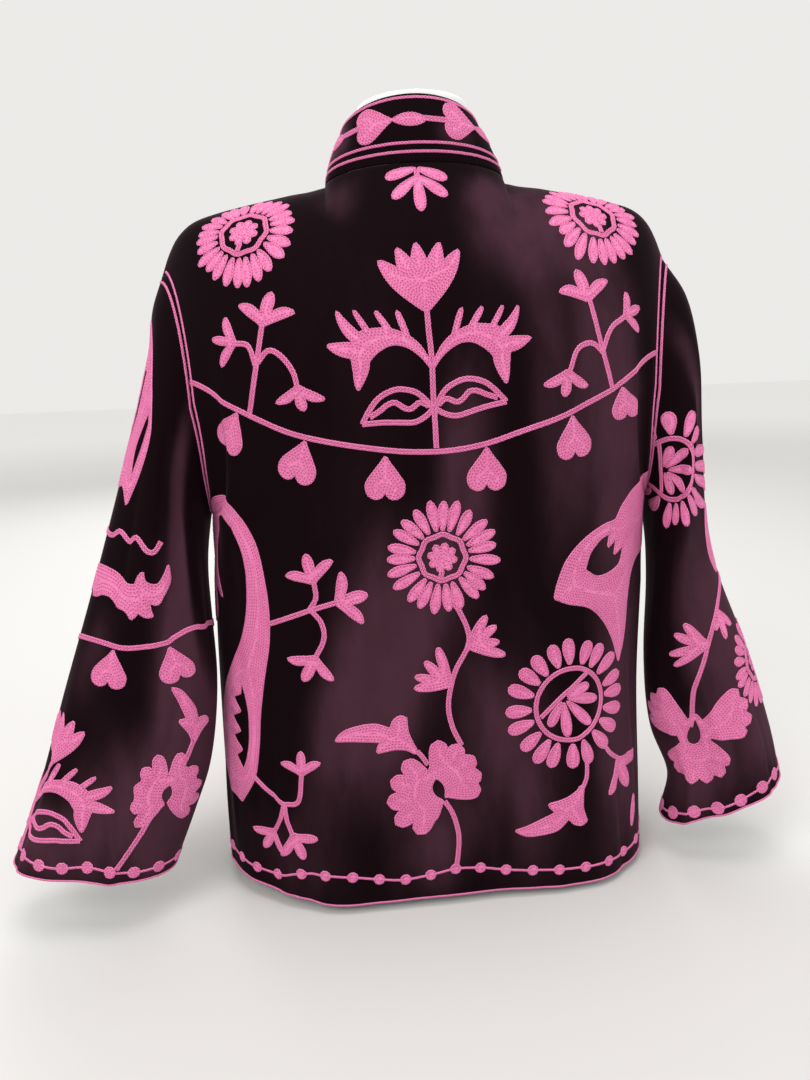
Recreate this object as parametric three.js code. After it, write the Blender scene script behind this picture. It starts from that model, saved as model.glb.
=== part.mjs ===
// Velvet kimono jacket with a stand collar, resting on a limbless dress form.
// Millimetres, +Z up. The jacket's back looks along +Y, its open front along -Y and the
// wearer's left is +X. The origin is the centre of the form's flat base.
import * as THREE from 'three';

// ---------------------------------------------------------------- driving sizes
const WALL = 2.0;           // velvet with its lining
const SEAM = 0.3;           // gap between two sewn edges
const HEM_Z = 12;           // hem above the surface that the form stands on
const UNDERARM_Z = 392;     // where the side seam ends and the armhole starts
const BLADE_Z = 500;        // height of the shoulder blades, where the body starts to close in
const ARM_DEPTH = 52;       // half depth of the armhole
const NECK_HALF = 86;       // half width of the neckline
const NECK_SHARE = 0.28;    // share of the columns of a panel that end at the neckline
const NECK = {
  back: { depth: 68, z: 702 },
  front: { depth: -66, z: 640 },
};
const NECK_SIDE_Z = 697;
// Top edge of the collar: half width, depths and heights.
const COLLAR = { half: 63.5, shift: 3.5, back: 60, front: 58, backZ: 761, sideZ: 744, frontZ: 694 };
const STAND_OFF = 3;        // how far a sleeve stands off the body just below the armhole
const EASE = 13;            // clearance between the form's body and the jacket
const REST = 0.6;           // clearance along the shoulders, where the jacket rests
const FORM_NECK = 54;       // radius of the form's neck
const FORM_TOP_Z = 769;

// Rings of the body: half width, shift towards the wearer's left, depth behind and before
// the shoulder seams, squareness.
const BODY = [
  { z: 0, half: 226, shift: 3, back: 127, front: 120, square: 2.9 },
  { z: 80, half: 225, shift: 3, back: 124, front: 120, square: 2.8 },
  { z: 190, half: 223.5, shift: 2.5, back: 121, front: 123, square: 2.55 },
  { z: 300, half: 224, shift: -1, back: 119, front: 127, square: 2.4 },
  { z: 392, half: 224, shift: -5, back: 119, front: 131, square: 2.3 },
  { z: 440, half: 231, shift: -4, back: 119, front: 131, square: 2.3 },
  { z: 500, half: 240, shift: -2, back: 118, front: 129, square: 2.3 },
];

// Shoulder line from the neck to the top of the armhole.
const SHOULDER = [
  { share: 0, x: 86, z: 697 },
  { share: 0.2, x: 118, z: 690 },
  { share: 0.42, x: 156, z: 683 },
  { share: 0.63, x: 192, z: 675.5 },
  { share: 0.77, x: 215, z: 668 },
  { share: 0.87, x: 230, z: 656 },
  { share: 0.94, x: 240, z: 640 },
  { share: 1, x: 248, z: 621 },
];

// The hem hangs unevenly; across runs from -1 at the right side seam to 1 at the left.
const HEM = [
  { across: -1, rise: 0, out: 0 },
  { across: -0.62, rise: -4, out: 3 },
  { across: -0.3, rise: -5, out: 2 },
  { across: -0.03, rise: -3, out: -2 },
  { across: 0.22, rise: -3, out: 1 },
  { across: 0.5, rise: 3, out: -2 },
  { across: 0.75, rise: 6, out: -3 },
  { across: 1, rise: 7, out: 0 },
];

// Soft folds of the body: place across the panel, height where they start and end, their
// half width as a share of the panel and how far they stand out (+) or sink in (-).
const FOLDS = {
  back: [
    { across: -0.24, from: 470, to: 690, wide: 0.10, out: -3.5 },
    { across: -0.36, from: 420, to: 650, wide: 0.12, out: 3 },
    { across: 0.22, from: -60, to: 230, wide: 0.16, out: 6 },
    { across: 0.5, from: -50, to: 330, wide: 0.13, out: -4 },
    { across: -0.1, from: -60, to: 150, wide: 0.12, out: -4 },
    { across: -0.42, from: -80, to: 190, wide: 0.15, out: 4 },
    { across: -0.7, from: 60, to: 440, wide: 0.12, out: -4 },
    { across: 0.66, from: 250, to: 520, wide: 0.14, out: 3.5 },
    { across: 0.84, from: 330, to: 560, wide: 0.09, out: -4 },
    { across: -0.84, from: 300, to: 560, wide: 0.09, out: -3.5 },
  ],
  front: [
    { across: 0.36, from: -90, to: 470, wide: 0.14, out: 6 },
    { across: 0.6, from: -40, to: 400, wide: 0.12, out: -5 },
    { across: 0.8, from: 280, to: 590, wide: 0.10, out: -5 },
    { across: -0.3, from: -90, to: 430, wide: 0.13, out: 7 },
    { across: -0.55, from: -60, to: 450, wide: 0.13, out: -5 },
    { across: -0.8, from: 250, to: 580, wide: 0.11, out: -4.5 },
  ],
};

// Half of the opening between the two fronts.
const OPENING = [
  { z: 0, half: 15 },
  { z: 300, half: 8 },
  { z: 640, half: 3 },
];

// Sleeves: the outer line runs from the shoulder to the cuff, the inner one from the underarm.
// deep is the half depth of the tube across those two lines.
const SLEEVES = {
  left: [
    { down: 0, outX: 248, outY: 0, outZ: 621, inX: 219, inY: 0, inZ: 392, deep: 52 },
    { down: 0.07, outX: 259, outY: 9, outZ: 588, inX: 222, inY: 10, inZ: 370, deep: 54 },
    { down: 0.15, outX: 264, outY: 19, outZ: 546, inX: 223.5, inY: 22, inZ: 342, deep: 53 },
    { down: 0.3, outX: 291, outY: 38, outZ: 452, inX: 221, inY: 42, inZ: 288, deep: 50 },
    { down: 0.5, outX: 329, outY: 55, outZ: 335, inX: 221, inY: 60, inZ: 215, deep: 46 },
    { down: 0.7, outX: 366, outY: 67, outZ: 230, inX: 231, inY: 74, inZ: 148, deep: 44 },
    { down: 0.86, outX: 396, outY: 77, outZ: 142, inX: 250, inY: 83, inZ: 98, deep: 44 },
    { down: 1, outX: 428, outY: 85, outZ: 65, inX: 271, inY: 90, inZ: 49, deep: 45 },
  ],
  right: [
    { down: 0, outX: 248, outY: 0, outZ: 621, inX: 229, inY: 0, inZ: 392, deep: 52 },
    { down: 0.07, outX: 269, outY: 8, outZ: 586, inX: 232, inY: 8, inZ: 370, deep: 54 },
    { down: 0.15, outX: 277, outY: 14, outZ: 541, inX: 232, inY: 14, inZ: 342, deep: 53 },
    { down: 0.3, outX: 281, outY: 26, outZ: 450, inX: 229, inY: 27, inZ: 285, deep: 49 },
    { down: 0.5, outX: 290, outY: 38, outZ: 335, inX: 225, inY: 37, inZ: 208, deep: 45 },
    { down: 0.7, outX: 328, outY: 46, outZ: 228, inX: 231, inY: 44, inZ: 138, deep: 42 },
    { down: 0.86, outX: 354, outY: 52, outZ: 144, inX: 250, inY: 50, inZ: 82, deep: 41 },
    { down: 1, outX: 367, outY: 56, outZ: 85, inX: 241, inY: 56, inZ: 38, deep: 42 },
  ],
};

// Folds of a sleeve: turn goes round the tube from 0 at the outer line, 0.25 at the back,
// 0.5 at the inner line and 0.75 at the front; drift is how far a fold winds on its way down.
const SLEEVE_FOLDS = {
  left: [
    { turn: 0.16, from: 0.02, to: 0.62, wide: 0.055, drift: 0.06, out: 4.5 },
    { turn: 0.27, from: 0.0, to: 0.5, wide: 0.05, drift: 0.05, out: -5 },
    { turn: 0.38, from: 0.08, to: 0.55, wide: 0.06, drift: -0.02, out: 4 },
    { turn: 0.22, from: 0.55, to: 1.3, wide: 0.07, drift: 0.03, out: -5 },
    { turn: 0.1, from: 0.5, to: 1.2, wide: 0.06, drift: 0.02, out: 3.5 },
    { turn: 0.72, from: 0.05, to: 0.75, wide: 0.06, drift: -0.05, out: -5 },
    { turn: 0.85, from: 0.2, to: 1.1, wide: 0.06, drift: 0.03, out: 4 },
  ],
  right: [
    { turn: 0.12, from: -0.05, to: 0.5, wide: 0.055, drift: 0.05, out: -4.5 },
    { turn: 0.22, from: 0.0, to: 0.62, wide: 0.05, drift: 0.05, out: 5 },
    { turn: 0.33, from: 0.1, to: 0.66, wide: 0.05, drift: 0.03, out: -4.5 },
    { turn: 0.17, from: 0.5, to: 1.25, wide: 0.07, drift: -0.02, out: 4.5 },
    { turn: 0.32, from: 0.62, to: 1.3, wide: 0.06, drift: 0.02, out: -5 },
    { turn: 0.7, from: 0.1, to: 0.8, wide: 0.06, drift: 0.04, out: -5 },
    { turn: 0.84, from: 0.25, to: 1.2, wide: 0.07, drift: -0.03, out: 4.5 },
  ],
};

// ---------------------------------------------------------------- helpers
const clamp = (x, a, b) => Math.min(b, Math.max(a, x));
const lerp = (a, b, t) => a + (b - a) * t;
const smooth = (a, b, x) => {
  const t = clamp((x - a) / (b - a), 0, 1);
  return t * t * (3 - 2 * t);
};
const vec = (x, y, z) => new THREE.Vector3(x, y, z);

// Reads a table at a value of its key column, by a smooth curve through its rows.
function read(rows, key, value, name) {
  const last = rows.length - 2;
  let i = 0;
  while (i < last && value > rows[i + 1][key]) i += 1;
  const slope = (j) => {
    const a = rows[Math.max(j - 1, 0)];
    const b = rows[Math.min(j + 1, rows.length - 1)];
    return (b[name] - a[name]) / (b[key] - a[key]);
  };
  const [p, q] = [rows[i], rows[i + 1]];
  const span = q[key] - p[key];
  const t = clamp((value - p[key]) / span, 0, 1);
  const t2 = t * t;
  const t3 = t2 * t;
  return p[name] * (2 * t3 - 3 * t2 + 1) + q[name] * (3 * t2 - 2 * t3)
    + span * (slope(i) * (t3 - 2 * t2 + t) + slope(i + 1) * (t3 - t2));
}

const bump = (x) => (Math.abs(x) < 1 ? (1 - x * x) ** 2 : 0);
const fade = (from, to, x) => {
  const mid = (from + to) / 2;
  return bump((x - mid) / ((to - from) / 2 + 1e-9)) ** 0.5;
};

// ---------------------------------------------------------------- the body's surface
// A point of the back (face 'back') or of the fronts (face 'front'). across is -1 at the
// right edge, 0 at the centre and 1 at the left edge. level is 0 at the hem, 1 at the
// underarm, 2 at the shoulder blades and 3 at the neckline and shoulder seam.
// trim holds what a dress form leaves out of the cloth's shape.
function bodyPoint(face, across, level, trim = null) {
  const share = Math.abs(across);
  const side = Math.sign(across);
  const way = face === 'back' ? 1 : -1;
  const inset = trim ? WALL + EASE : 0;

  const ring = (z) => {
    const rise = clamp((z - UNDERARM_Z) / (BLADE_Z - UNDERARM_Z), 0, 1);
    const edge = trim ? 0 : ARM_DEPTH * Math.sqrt(1 - (1 - rise) ** 2);
    const half = read(BODY, 'z', z, 'half') - inset - (trim ? trim.narrow * rise : 0);
    const deep = read(BODY, 'z', z, face) - inset;
    const power = 2 / read(BODY, 'z', z, 'square');
    const edgeTurn = Math.asin((edge / deep) ** (1 / power));
    const turn = lerp(Math.PI / 2, edgeTurn, share);
    const x = read(BODY, 'z', z, 'shift') + side * half * Math.cos(turn) ** power;
    return vec(x, way * deep * Math.sin(turn) ** power, z);
  };

  let p;
  if (level <= 2) {
    const hem = trim ? 0 : HEM_Z + read(HEM, 'across', across, 'rise');
    const z = level < 1 ? lerp(hem, UNDERARM_Z, level) : lerp(UNDERARM_Z, BLADE_Z, level - 1);
    p = ring(z);
  } else {
    const low = ring(BLADE_Z);
    const top = topPoint(face, across, trim);
    const angle = (level - 2) * Math.PI / 2;
    const neck = 1 - smooth(NECK_SHARE * 0.4, NECK_SHARE + 0.16, share);
    const close = lerp(1 - Math.cos(angle), (level - 2) ** 2.2, neck);
    const climb = lerp(Math.sin(angle), level - 2, neck);
    p = vec(
      lerp(low.x, top.x, 1 - Math.cos(angle)),
      lerp(low.y, top.y, close),
      lerp(low.z, top.z, climb),
    );
    if (trim) p.z -= trim.sink * Math.sqrt(3 - level) * smooth(2, 2.3, level);
  }
  if (trim) return p;

  // Folds move the cloth straight out from the middle of the body.
  let out = 0;
  for (const fold of FOLDS[face]) {
    out += fold.out * bump((across - fold.across) / fold.wide) * fade(fold.from, fold.to, p.z);
  }
  if (face === 'back') {
    out += read(HEM, 'across', across, 'out') * (1 - smooth(0, 220, p.z));
  }
  out *= 1 - smooth(0.88, 0.98, share);
  const away = vec(p.x * 0.5, p.y, 0).normalize();
  return p.addScaledVector(away, out);
}

// The neckline for the inner columns, then the shoulder line out to the armhole.
function topPoint(face, across, trim) {
  const share = Math.abs(across);
  const side = Math.sign(across);
  const drop = trim ? WALL + REST : 0;
  if (share <= NECK_SHARE) {
    const turn = share / NECK_SHARE * Math.PI / 2;
    const { depth, z } = NECK[face];
    const narrow = trim ? 0.9 : 1;
    const height = face === 'back'
      ? lerp(z, NECK_SIDE_Z, 1 - Math.cos(turn))
      : lerp(z, NECK_SIDE_Z, (1 - Math.cos(turn)) ** 0.65);
    return vec(
      side * NECK_HALF * narrow * Math.sin(turn),
      depth * narrow * Math.cos(turn),
      height - drop * (1 + 3 * Math.cos(turn)),
    );
  }
  const along = (share - NECK_SHARE) / (1 - NECK_SHARE) * (trim ? trim.reach : 1);
  const narrow = trim ? lerp(0.9, 1, smooth(0, 0.1, along)) : 1;
  return vec(
    side * read(SHOULDER, 'share', along, 'x') * narrow,
    0,
    read(SHOULDER, 'share', along, 'z') - drop,
  );
}

// ---------------------------------------------------------------- solids from grids
// Normals of a grid of points by central differences; columns may close on themselves.
function gridNormals(grid, closed) {
  const rows = grid.length;
  const cols = grid[0].length;
  return grid.map((row, i) => row.map((_, j) => {
    const down = grid[Math.max(i - 1, 0)][j];
    const up = grid[Math.min(i + 1, rows - 1)][j];
    const before = closed ? grid[i][(j + cols - 1) % cols] : grid[i][Math.max(j - 1, 0)];
    const after = closed ? grid[i][(j + 1) % cols] : grid[i][Math.min(j + 1, cols - 1)];
    return after.clone().sub(before).cross(up.clone().sub(down)).normalize();
  }));
}

// A closed mesh from vertices and quads or triangles, turned so that its faces look out.
function solid(points, faces) {
  const triangles = [];
  for (const face of faces) {
    triangles.push([face[0], face[1], face[2]]);
    if (face.length === 4) triangles.push([face[0], face[2], face[3]]);
  }
  let volume = 0;
  for (const [a, b, c] of triangles) {
    volume += points[a].dot(points[b].clone().cross(points[c]));
  }
  if (volume < 0) triangles.forEach((t) => t.reverse());
  const geometry = new THREE.BufferGeometry();
  const flat = points.flatMap((p) => [p.x, p.y, p.z]);
  geometry.setAttribute('position', new THREE.Float32BufferAttribute(flat, 3));
  geometry.setIndex(triangles.flat());
  geometry.computeVertexNormals();
  return geometry;
}

// A wall of cloth: the outer grid, the same grid moved in by the wall, and rims between.
// keep(point) may hold a seam's inner edge in its own plane.
function wall(grid, { closed = false, outward = 1, thickness = WALL, keep = (p) => p } = {}) {
  const rows = grid.length;
  const cols = grid[0].length;
  const normals = gridNormals(grid, closed);
  const points = grid.flat().map((p) => p.clone());
  grid.forEach((row, i) => row.forEach((p, j) => {
    points.push(keep(p.clone().addScaledVector(normals[i][j], -outward * thickness), i, j));
  }));
  const outer = (i, j) => i * cols + (j % cols);
  const inner = (i, j) => rows * cols + outer(i, j);
  const faces = [];
  const spans = closed ? cols : cols - 1;
  for (let i = 0; i < rows - 1; i += 1) {
    for (let j = 0; j < spans; j += 1) {
      faces.push([outer(i, j), outer(i, j + 1), outer(i + 1, j + 1), outer(i + 1, j)]);
      faces.push([inner(i, j), inner(i + 1, j), inner(i + 1, j + 1), inner(i, j + 1)]);
    }
  }
  for (let j = 0; j < spans; j += 1) {
    const t = rows - 1;
    faces.push([outer(0, j), inner(0, j), inner(0, j + 1), outer(0, j + 1)]);
    faces.push([outer(t, j), outer(t, j + 1), inner(t, j + 1), inner(t, j)]);
  }
  if (!closed) {
    const t = cols - 1;
    for (let i = 0; i < rows - 1; i += 1) {
      faces.push([outer(i, 0), outer(i + 1, 0), inner(i + 1, 0), inner(i, 0)]);
      faces.push([outer(i, t), inner(i, t), inner(i + 1, t), outer(i + 1, t)]);
    }
  }
  return solid(points, faces);
}

// ---------------------------------------------------------------- pieces
const SKIRT_ROWS = 10;
const ARM_ROWS = 5;
const YOKE = [0, 0.14, 0.28, 0.42, 0.56, 0.69, 0.8, 0.9, 0.96, 1];

const levels = [];
for (let i = 0; i < SKIRT_ROWS; i += 1) levels.push(i / SKIRT_ROWS);
for (let i = 0; i < ARM_ROWS; i += 1) levels.push(2 - Math.cos(i / ARM_ROWS * Math.PI / 2));
YOKE.forEach((rise) => levels.push(2 + rise));

// Columns of half a panel: some end at the neckline, the rest at the shoulder.
const halfColumns = (neck, shoulder) => {
  const list = [];
  for (let i = 0; i <= neck; i += 1) list.push(i / neck * NECK_SHARE);
  for (let i = 1; i <= shoulder; i += 1) list.push(lerp(NECK_SHARE, 1, i / shoulder));
  return list;
};
const half = halfColumns(5, 9);
const mirrored = (list) => [...list.slice(1).reverse().map((x) => -x), ...list];

// Seams lie in the plane of the side and shoulder seams, half a gap off it.
const seamSide = (way) => (p) => {
  p.y = way * Math.max(way * p.y, SEAM / 2);
  return p;
};

function backPanel() {
  const grid = levels.map((level) => mirrored(half).map((across) => (
    seamSide(1)(bodyPoint('back', across, level)))));
  return wall(grid, { outward: -1, keep: seamSide(1) });
}

// The fronts part at the centre; the shift dies away towards the side.
function part(p, side, share) {
  p.x += side * read(OPENING, 'z', p.z, 'half') * (1 - Math.min(share / 0.5, 1)) ** 2;
  return p;
}

function frontPanel(side) {
  const grid = levels.map((level) => half.map((share) => {
    const p = bodyPoint('front', side * Math.max(share, 1e-6), level);
    return part(seamSide(-1)(p), side, share);
  }));
  return wall(grid, { outward: side, keep: seamSide(-1) });
}

// The armhole's edge as a loop: turn 0 at the shoulder, 0.25 at the back, 0.5 at the underarm.
function armholePoint(side, turn) {
  const face = turn <= 0.5 ? 'back' : 'front';
  const down = turn <= 0.5 ? turn * 2 : (1 - turn) * 2;
  return bodyPoint(face, side, 3 - 2 * down);
}

function sleevePoint(name, turn, down) {
  const side = name === 'left' ? 1 : -1;
  const rows = SLEEVES[name];
  const at = (key) => read(rows, 'down', down, key);
  const out = vec(side * at('outX'), at('outY'), at('outZ'));
  const inn = vec(side * at('inX'), at('inY'), at('inZ'));
  const [head, cuff] = [rows[0], rows.at(-1)];
  const axis = vec(
    side * (cuff.outX + cuff.inX - head.outX - head.inX),
    cuff.outY + cuff.inY - head.outY - head.inY,
    cuff.outZ + cuff.inZ - head.outZ - head.inZ,
  ).normalize();
  const width = inn.clone().sub(out);
  const square = width.clone().cross(axis).normalize();
  if (square.y < 0) square.negate();
  square.setZ(0);
  const depth = vec(0, 1, 0).lerp(square, smooth(0, 0.5, down)).normalize();
  const angle = turn * Math.PI * 2;
  const swell = Math.sign(Math.sin(angle)) * Math.abs(Math.sin(angle)) ** 0.9;
  const p = out.clone().addScaledVector(width, (1 - Math.cos(angle)) / 2)
    .addScaledVector(depth, swell * at('deep'));

  // The head of the sleeve starts on the armhole's edge.
  const hold = 1 - smooth(0, 0.2, down);
  const start = armholePoint(side, turn);
  const first = vec(
    side * lerp(rows[0].outX, rows[0].inX, (1 - Math.cos(angle)) / 2),
    swell * rows[0].deep,
    lerp(rows[0].outZ, rows[0].inZ, (1 - Math.cos(angle)) / 2),
  );
  p.addScaledVector(start.sub(first), hold);

  // Below the armhole the tube stands a little off the side of the body.
  const near = smooth(0.2, 0.4, turn) * (1 - smooth(0.6, 0.8, turn));
  const stand = STAND_OFF * near * smooth(0, 0.05, down) * (1 - smooth(0.2, 0.45, down));
  p.addScaledVector(vec(side * 0.8, Math.sin(angle) * 0.6, 0), stand);

  let fold = 0;
  for (const f of SLEEVE_FOLDS[name]) {
    const place = f.turn + f.drift * (down - f.from);
    fold += f.out * bump((turn - place) / f.wide) * fade(f.from, f.to, down);
  }
  fold *= smooth(0.04, 0.2, down);
  const heart = out.clone().add(inn).multiplyScalar(0.5);
  const away = p.clone().sub(heart).normalize();
  return p.addScaledVector(away, fold);
}

function sleeve(name) {
  const side = name === 'left' ? 1 : -1;
  const rows = 18;
  const arm = levels.filter((level) => level >= 1).reverse().map((level) => (3 - level) / 4);
  const turns = [...arm, ...arm.slice(1, -1).reverse().map((turn) => 1 - turn)];
  const grid = [];
  for (let i = 0; i <= rows; i += 1) {
    const down = (i / rows) ** 1.25;
    grid.push(turns.map((turn) => sleevePoint(name, turn, down)));
  }
  // The first ring stands one seam gap off the armhole's edge.
  grid[0].forEach((p, j) => {
    const step = grid[1][j].clone().sub(p).normalize();
    p.addScaledVector(step, SEAM * 1.5).add(vec(side * SEAM, 0, 0));
  });
  return wall(grid, { closed: true, outward: -side });
}

// The collar stands on the neckline and leans in; its ends meet at the centre front.
// turn runs from -0.5 at the right front edge, through 0 at the back, to 0.5.
function collarPoint(turn, up) {
  const angle = turn * Math.PI * 2;
  const [s, c] = [Math.sin(angle), Math.cos(angle)];
  const side = turn < 0 ? -1 : 1;
  const behind = Math.abs(turn) <= 0.25;
  const share = NECK_SHARE * (behind ? Math.abs(turn) : 0.5 - Math.abs(turn)) / 0.25;
  const foot = topPoint(behind ? 'back' : 'front', side * Math.max(share, 1e-9), null);
  const head = vec(
    COLLAR.shift + s * COLLAR.half,
    c * (behind ? COLLAR.back : COLLAR.front),
    behind ? lerp(COLLAR.sideZ, COLLAR.backZ, c) : lerp(COLLAR.sideZ, COLLAR.frontZ, -c),
  );
  foot.z += SEAM * (1 + 2 * Math.abs(s));
  const p = foot.lerp(head, up).addScaledVector(vec(s, c, 0), 2.5 * Math.sin(up * Math.PI));
  if (!behind) p.x += side * OPENING.at(-1).half * (1 - Math.min(share / 0.5, 1)) ** 2;
  return p;
}

function collar() {
  const quarter = half.filter((share) => share <= NECK_SHARE).map((x) => x / NECK_SHARE / 4);
  const right = [...quarter.map((x) => -0.5 + x), ...quarter.slice(1).map((x) => x - 0.25)];
  const turns = [...right, ...right.slice(0, -1).reverse().map((x) => -x)];
  const rows = 4;
  const grid = [];
  for (let i = 0; i <= rows; i += 1) {
    grid.push(turns.map((turn) => collarPoint(turn, i / rows)));
  }
  // The inner edge of the foot stays level with the outer one, clear of the neckline.
  const keep = (p, i, j) => {
    if (i === 0) p.z = grid[0][j].z + SEAM;
    return p;
  };
  return wall(grid, { outward: -1, keep });
}

// The form: rings up to the blades, then loops that close on the shoulder line and on
// the neck, whose rings end in a flat cap.
function dressForm() {
  const trim = { narrow: 26, reach: 7 / 9, sink: 9 };
  const columns = halfColumns(5, 7);
  const loop = [];
  columns.slice(0, -1).forEach((c) => loop.push(['back', c]));
  columns.slice().reverse().forEach((c) => loop.push(['front', c]));
  columns.slice(1, -1).forEach((c) => loop.push(['front', -c]));
  columns.slice().reverse().slice(0, -1).forEach((c) => loop.push(['back', -c]));
  const count = loop.length;
  const points = [];
  const faces = [];
  const rings = [0, 0.15, 0.35, 0.55, 0.78, 1, 1.5, ...YOKE.map((rise) => 2 + rise)];
  const index = [];
  const seen = new Map();
  rings.forEach((level, i) => {
    index.push(loop.map(([face, across]) => {
      const p = bodyPoint(face, across || 1e-9, level, trim);
      const key = [p.x, p.y, p.z].map((v) => Math.round(v * 1000)).join();
      if (i === rings.length - 1 && seen.has(key)) return seen.get(key);
      points.push(p);
      if (i === rings.length - 1) seen.set(key, points.length - 1);
      return points.length - 1;
    }));
    if (i === 0) return;
    for (let j = 0; j < count; j += 1) {
      const k = (j + 1) % count;
      faces.push([index[i - 1][j], index[i - 1][k], index[i][k], index[i][j]]);
    }
  });
  const base = points.push(vec(0, 0, 0)) - 1;
  for (let j = 0; j < count; j += 1) faces.push([base, index[0][(j + 1) % count], index[0][j]]);

  // The neck rises from the loop of columns that end at the neckline.
  const open = loop.map(([, across], j) => [Math.abs(across), j])
    .filter(([across]) => across <= NECK_SHARE + 1e-9).map(([, j]) => j);
  const unique = open.filter((j, k) => (
    open.findIndex((other) => index.at(-1)[other] === index.at(-1)[j]) === k));
  let last = unique.map((j) => index.at(-1)[j]);
  const rim = last.map((v) => points[v]);
  const steps = [
    { up: 0.12, hold: 0.62 }, { up: 0.3, hold: 0.28 }, { up: 0.55, hold: 0.06 },
    { up: 0.94, hold: 0 }, { up: 0.965, hold: -0.12 }, { up: 0.99, hold: -0.6 },
  ];
  for (const { up, hold } of steps) {
    const next = rim.map((p) => {
      const angle = Math.atan2(p.x, p.y);
      const radius = lerp(FORM_NECK, Math.hypot(p.x, p.y), hold);
      const [x, y] = [radius * Math.sin(angle), radius * Math.cos(angle)];
      return points.push(vec(x, y, lerp(p.z, FORM_TOP_Z, up))) - 1;
    });
    for (let j = 0; j < last.length; j += 1) {
      const k = (j + 1) % last.length;
      faces.push([last[j], last[k], next[k], next[j]]);
    }
    last = next;
  }
  const cap = points.push(vec(0, 0, FORM_TOP_Z)) - 1;
  for (let j = 0; j < last.length; j += 1) faces.push([last[j], last[(j + 1) % last.length], cap]);
  return solid(points, faces);
}

// ---------------------------------------------------------------- the object
const velvet = () => new THREE.MeshStandardMaterial({
  color: '#2a0d20', roughness: 0.85, metalness: 0, side: THREE.DoubleSide,
});
const shell = new THREE.MeshStandardMaterial({ color: '#ecebe8', roughness: 0.45, metalness: 0 });

const object = new THREE.Group();
function add(name, geometry, material) {
  const mesh = new THREE.Mesh(geometry, material);
  mesh.name = name;
  object.add(mesh);
}
add('dress_form', dressForm(), shell);
add('back_panel', backPanel(), velvet());
add('front_left', frontPanel(1), velvet());
add('front_right', frontPanel(-1), velvet());
add('sleeve_left', sleeve('left'), velvet());
add('sleeve_right', sleeve('right'), velvet());
add('collar', collar(), velvet());

export default object;
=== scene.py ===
# Velvet kimono jacket with pink chain stitch, resting on a limbless dress form.
# Flat sizes are in millimetres and the meshes in metres. The back looks along +Y, the open
# front along -Y and the wearer's left is +X.
import math

import bmesh
import bpy
import numpy as np
from mathutils import Matrix


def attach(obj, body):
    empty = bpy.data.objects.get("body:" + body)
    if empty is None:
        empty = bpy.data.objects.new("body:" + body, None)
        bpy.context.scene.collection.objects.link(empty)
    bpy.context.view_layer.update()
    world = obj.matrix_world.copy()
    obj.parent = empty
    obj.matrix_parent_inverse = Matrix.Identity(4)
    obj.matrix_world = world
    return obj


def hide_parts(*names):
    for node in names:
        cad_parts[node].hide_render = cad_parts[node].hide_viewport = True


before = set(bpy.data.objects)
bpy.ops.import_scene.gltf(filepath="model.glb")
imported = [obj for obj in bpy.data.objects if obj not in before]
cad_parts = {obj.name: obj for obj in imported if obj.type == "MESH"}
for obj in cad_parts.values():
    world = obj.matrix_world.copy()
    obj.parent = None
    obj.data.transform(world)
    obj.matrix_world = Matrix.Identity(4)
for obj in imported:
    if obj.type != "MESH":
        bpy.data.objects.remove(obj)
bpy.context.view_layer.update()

# ---------------------------------------------------------------- camera
# It stands behind the jacket, a little to the wearer's left, looks down by 12 degrees and
# leans over by 2.3 degrees.
CAMERA_TURN, CAMERA_SWING, CAMERA_PITCH, CAMERA_LEAN = 5.0, 1.554, 12.0, 2.3
CAMERA_AWAY, CAMERA_HEIGHT = 0.840, 0.525
LENS_SHARE = 811 / 1080     # focal length as a share of the picture's height

camera_data = bpy.data.cameras.new("camera")
camera_data.sensor_fit = "VERTICAL"
camera_data.sensor_height = 36
camera_data.lens = LENS_SHARE * camera_data.sensor_height
camera_data.clip_start, camera_data.clip_end = 0.05, 30
camera = bpy.data.objects.new("camera", camera_data)
bpy.context.scene.collection.objects.link(camera)
bpy.context.scene.camera = camera


def aim_camera():
    turn, swing, pitch, lean = (math.radians(v) for v in (
        CAMERA_TURN, CAMERA_SWING, CAMERA_PITCH, CAMERA_LEAN))
    up = np.array([0.0, 0.0, 1.0])
    ahead = np.array([-math.sin(turn), -math.cos(turn), 0.0])
    ahead = ahead * math.cos(swing) - np.cross(ahead, up) * math.sin(swing)
    right = np.cross(ahead, up)
    look = ahead * math.cos(pitch) - up * math.sin(pitch)
    top = np.cross(right, look)
    right, top = (
        right * math.cos(lean) - top * math.sin(lean),
        top * math.cos(lean) + right * math.sin(lean),
    )
    place = Matrix.Identity(4)
    for i in range(3):
        place[i][0], place[i][1], place[i][2] = right[i], top[i], -look[i]
    place[0][3] = CAMERA_AWAY * math.sin(turn)
    place[1][3] = CAMERA_AWAY * math.cos(turn)
    place[2][3] = CAMERA_HEIGHT
    camera.matrix_world = place


aim_camera()

# ---------------------------------------------------------------- floor and light
# A plain pale floor under a plain pale surround, a large soft light high on the
# left behind the camera and weaker ones on the right and at the front.
FLOOR_HALF = 14.0
# The floor's colour is painted darker near the middle, where the lamps light it most, and paler far off,
# where only the surround lights it, so that it looks evenly bright and meets the surround without a line.
FLOOR_NEAR_PAINTED_SHADE, FLOOR_FAR_PAINTED_LIGHT = (0.60, 0.595, 0.585, 1), (0.93, 0.925, 0.915, 1)

bpy.ops.object.select_all(action="DESELECT")
bpy.ops.mesh.primitive_plane_add(size=2 * FLOOR_HALF, location=(0, 0, -0.0005))
floor = bpy.context.object
floor.name = "floor"

world = bpy.data.worlds.new("surround")
bpy.context.scene.world = world
world.use_nodes = True
surround = world.node_tree.nodes["Background"]
surround.inputs["Color"].default_value = (1.0, 0.985, 0.965, 1)
surround.inputs["Strength"].default_value = 0.84

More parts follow.
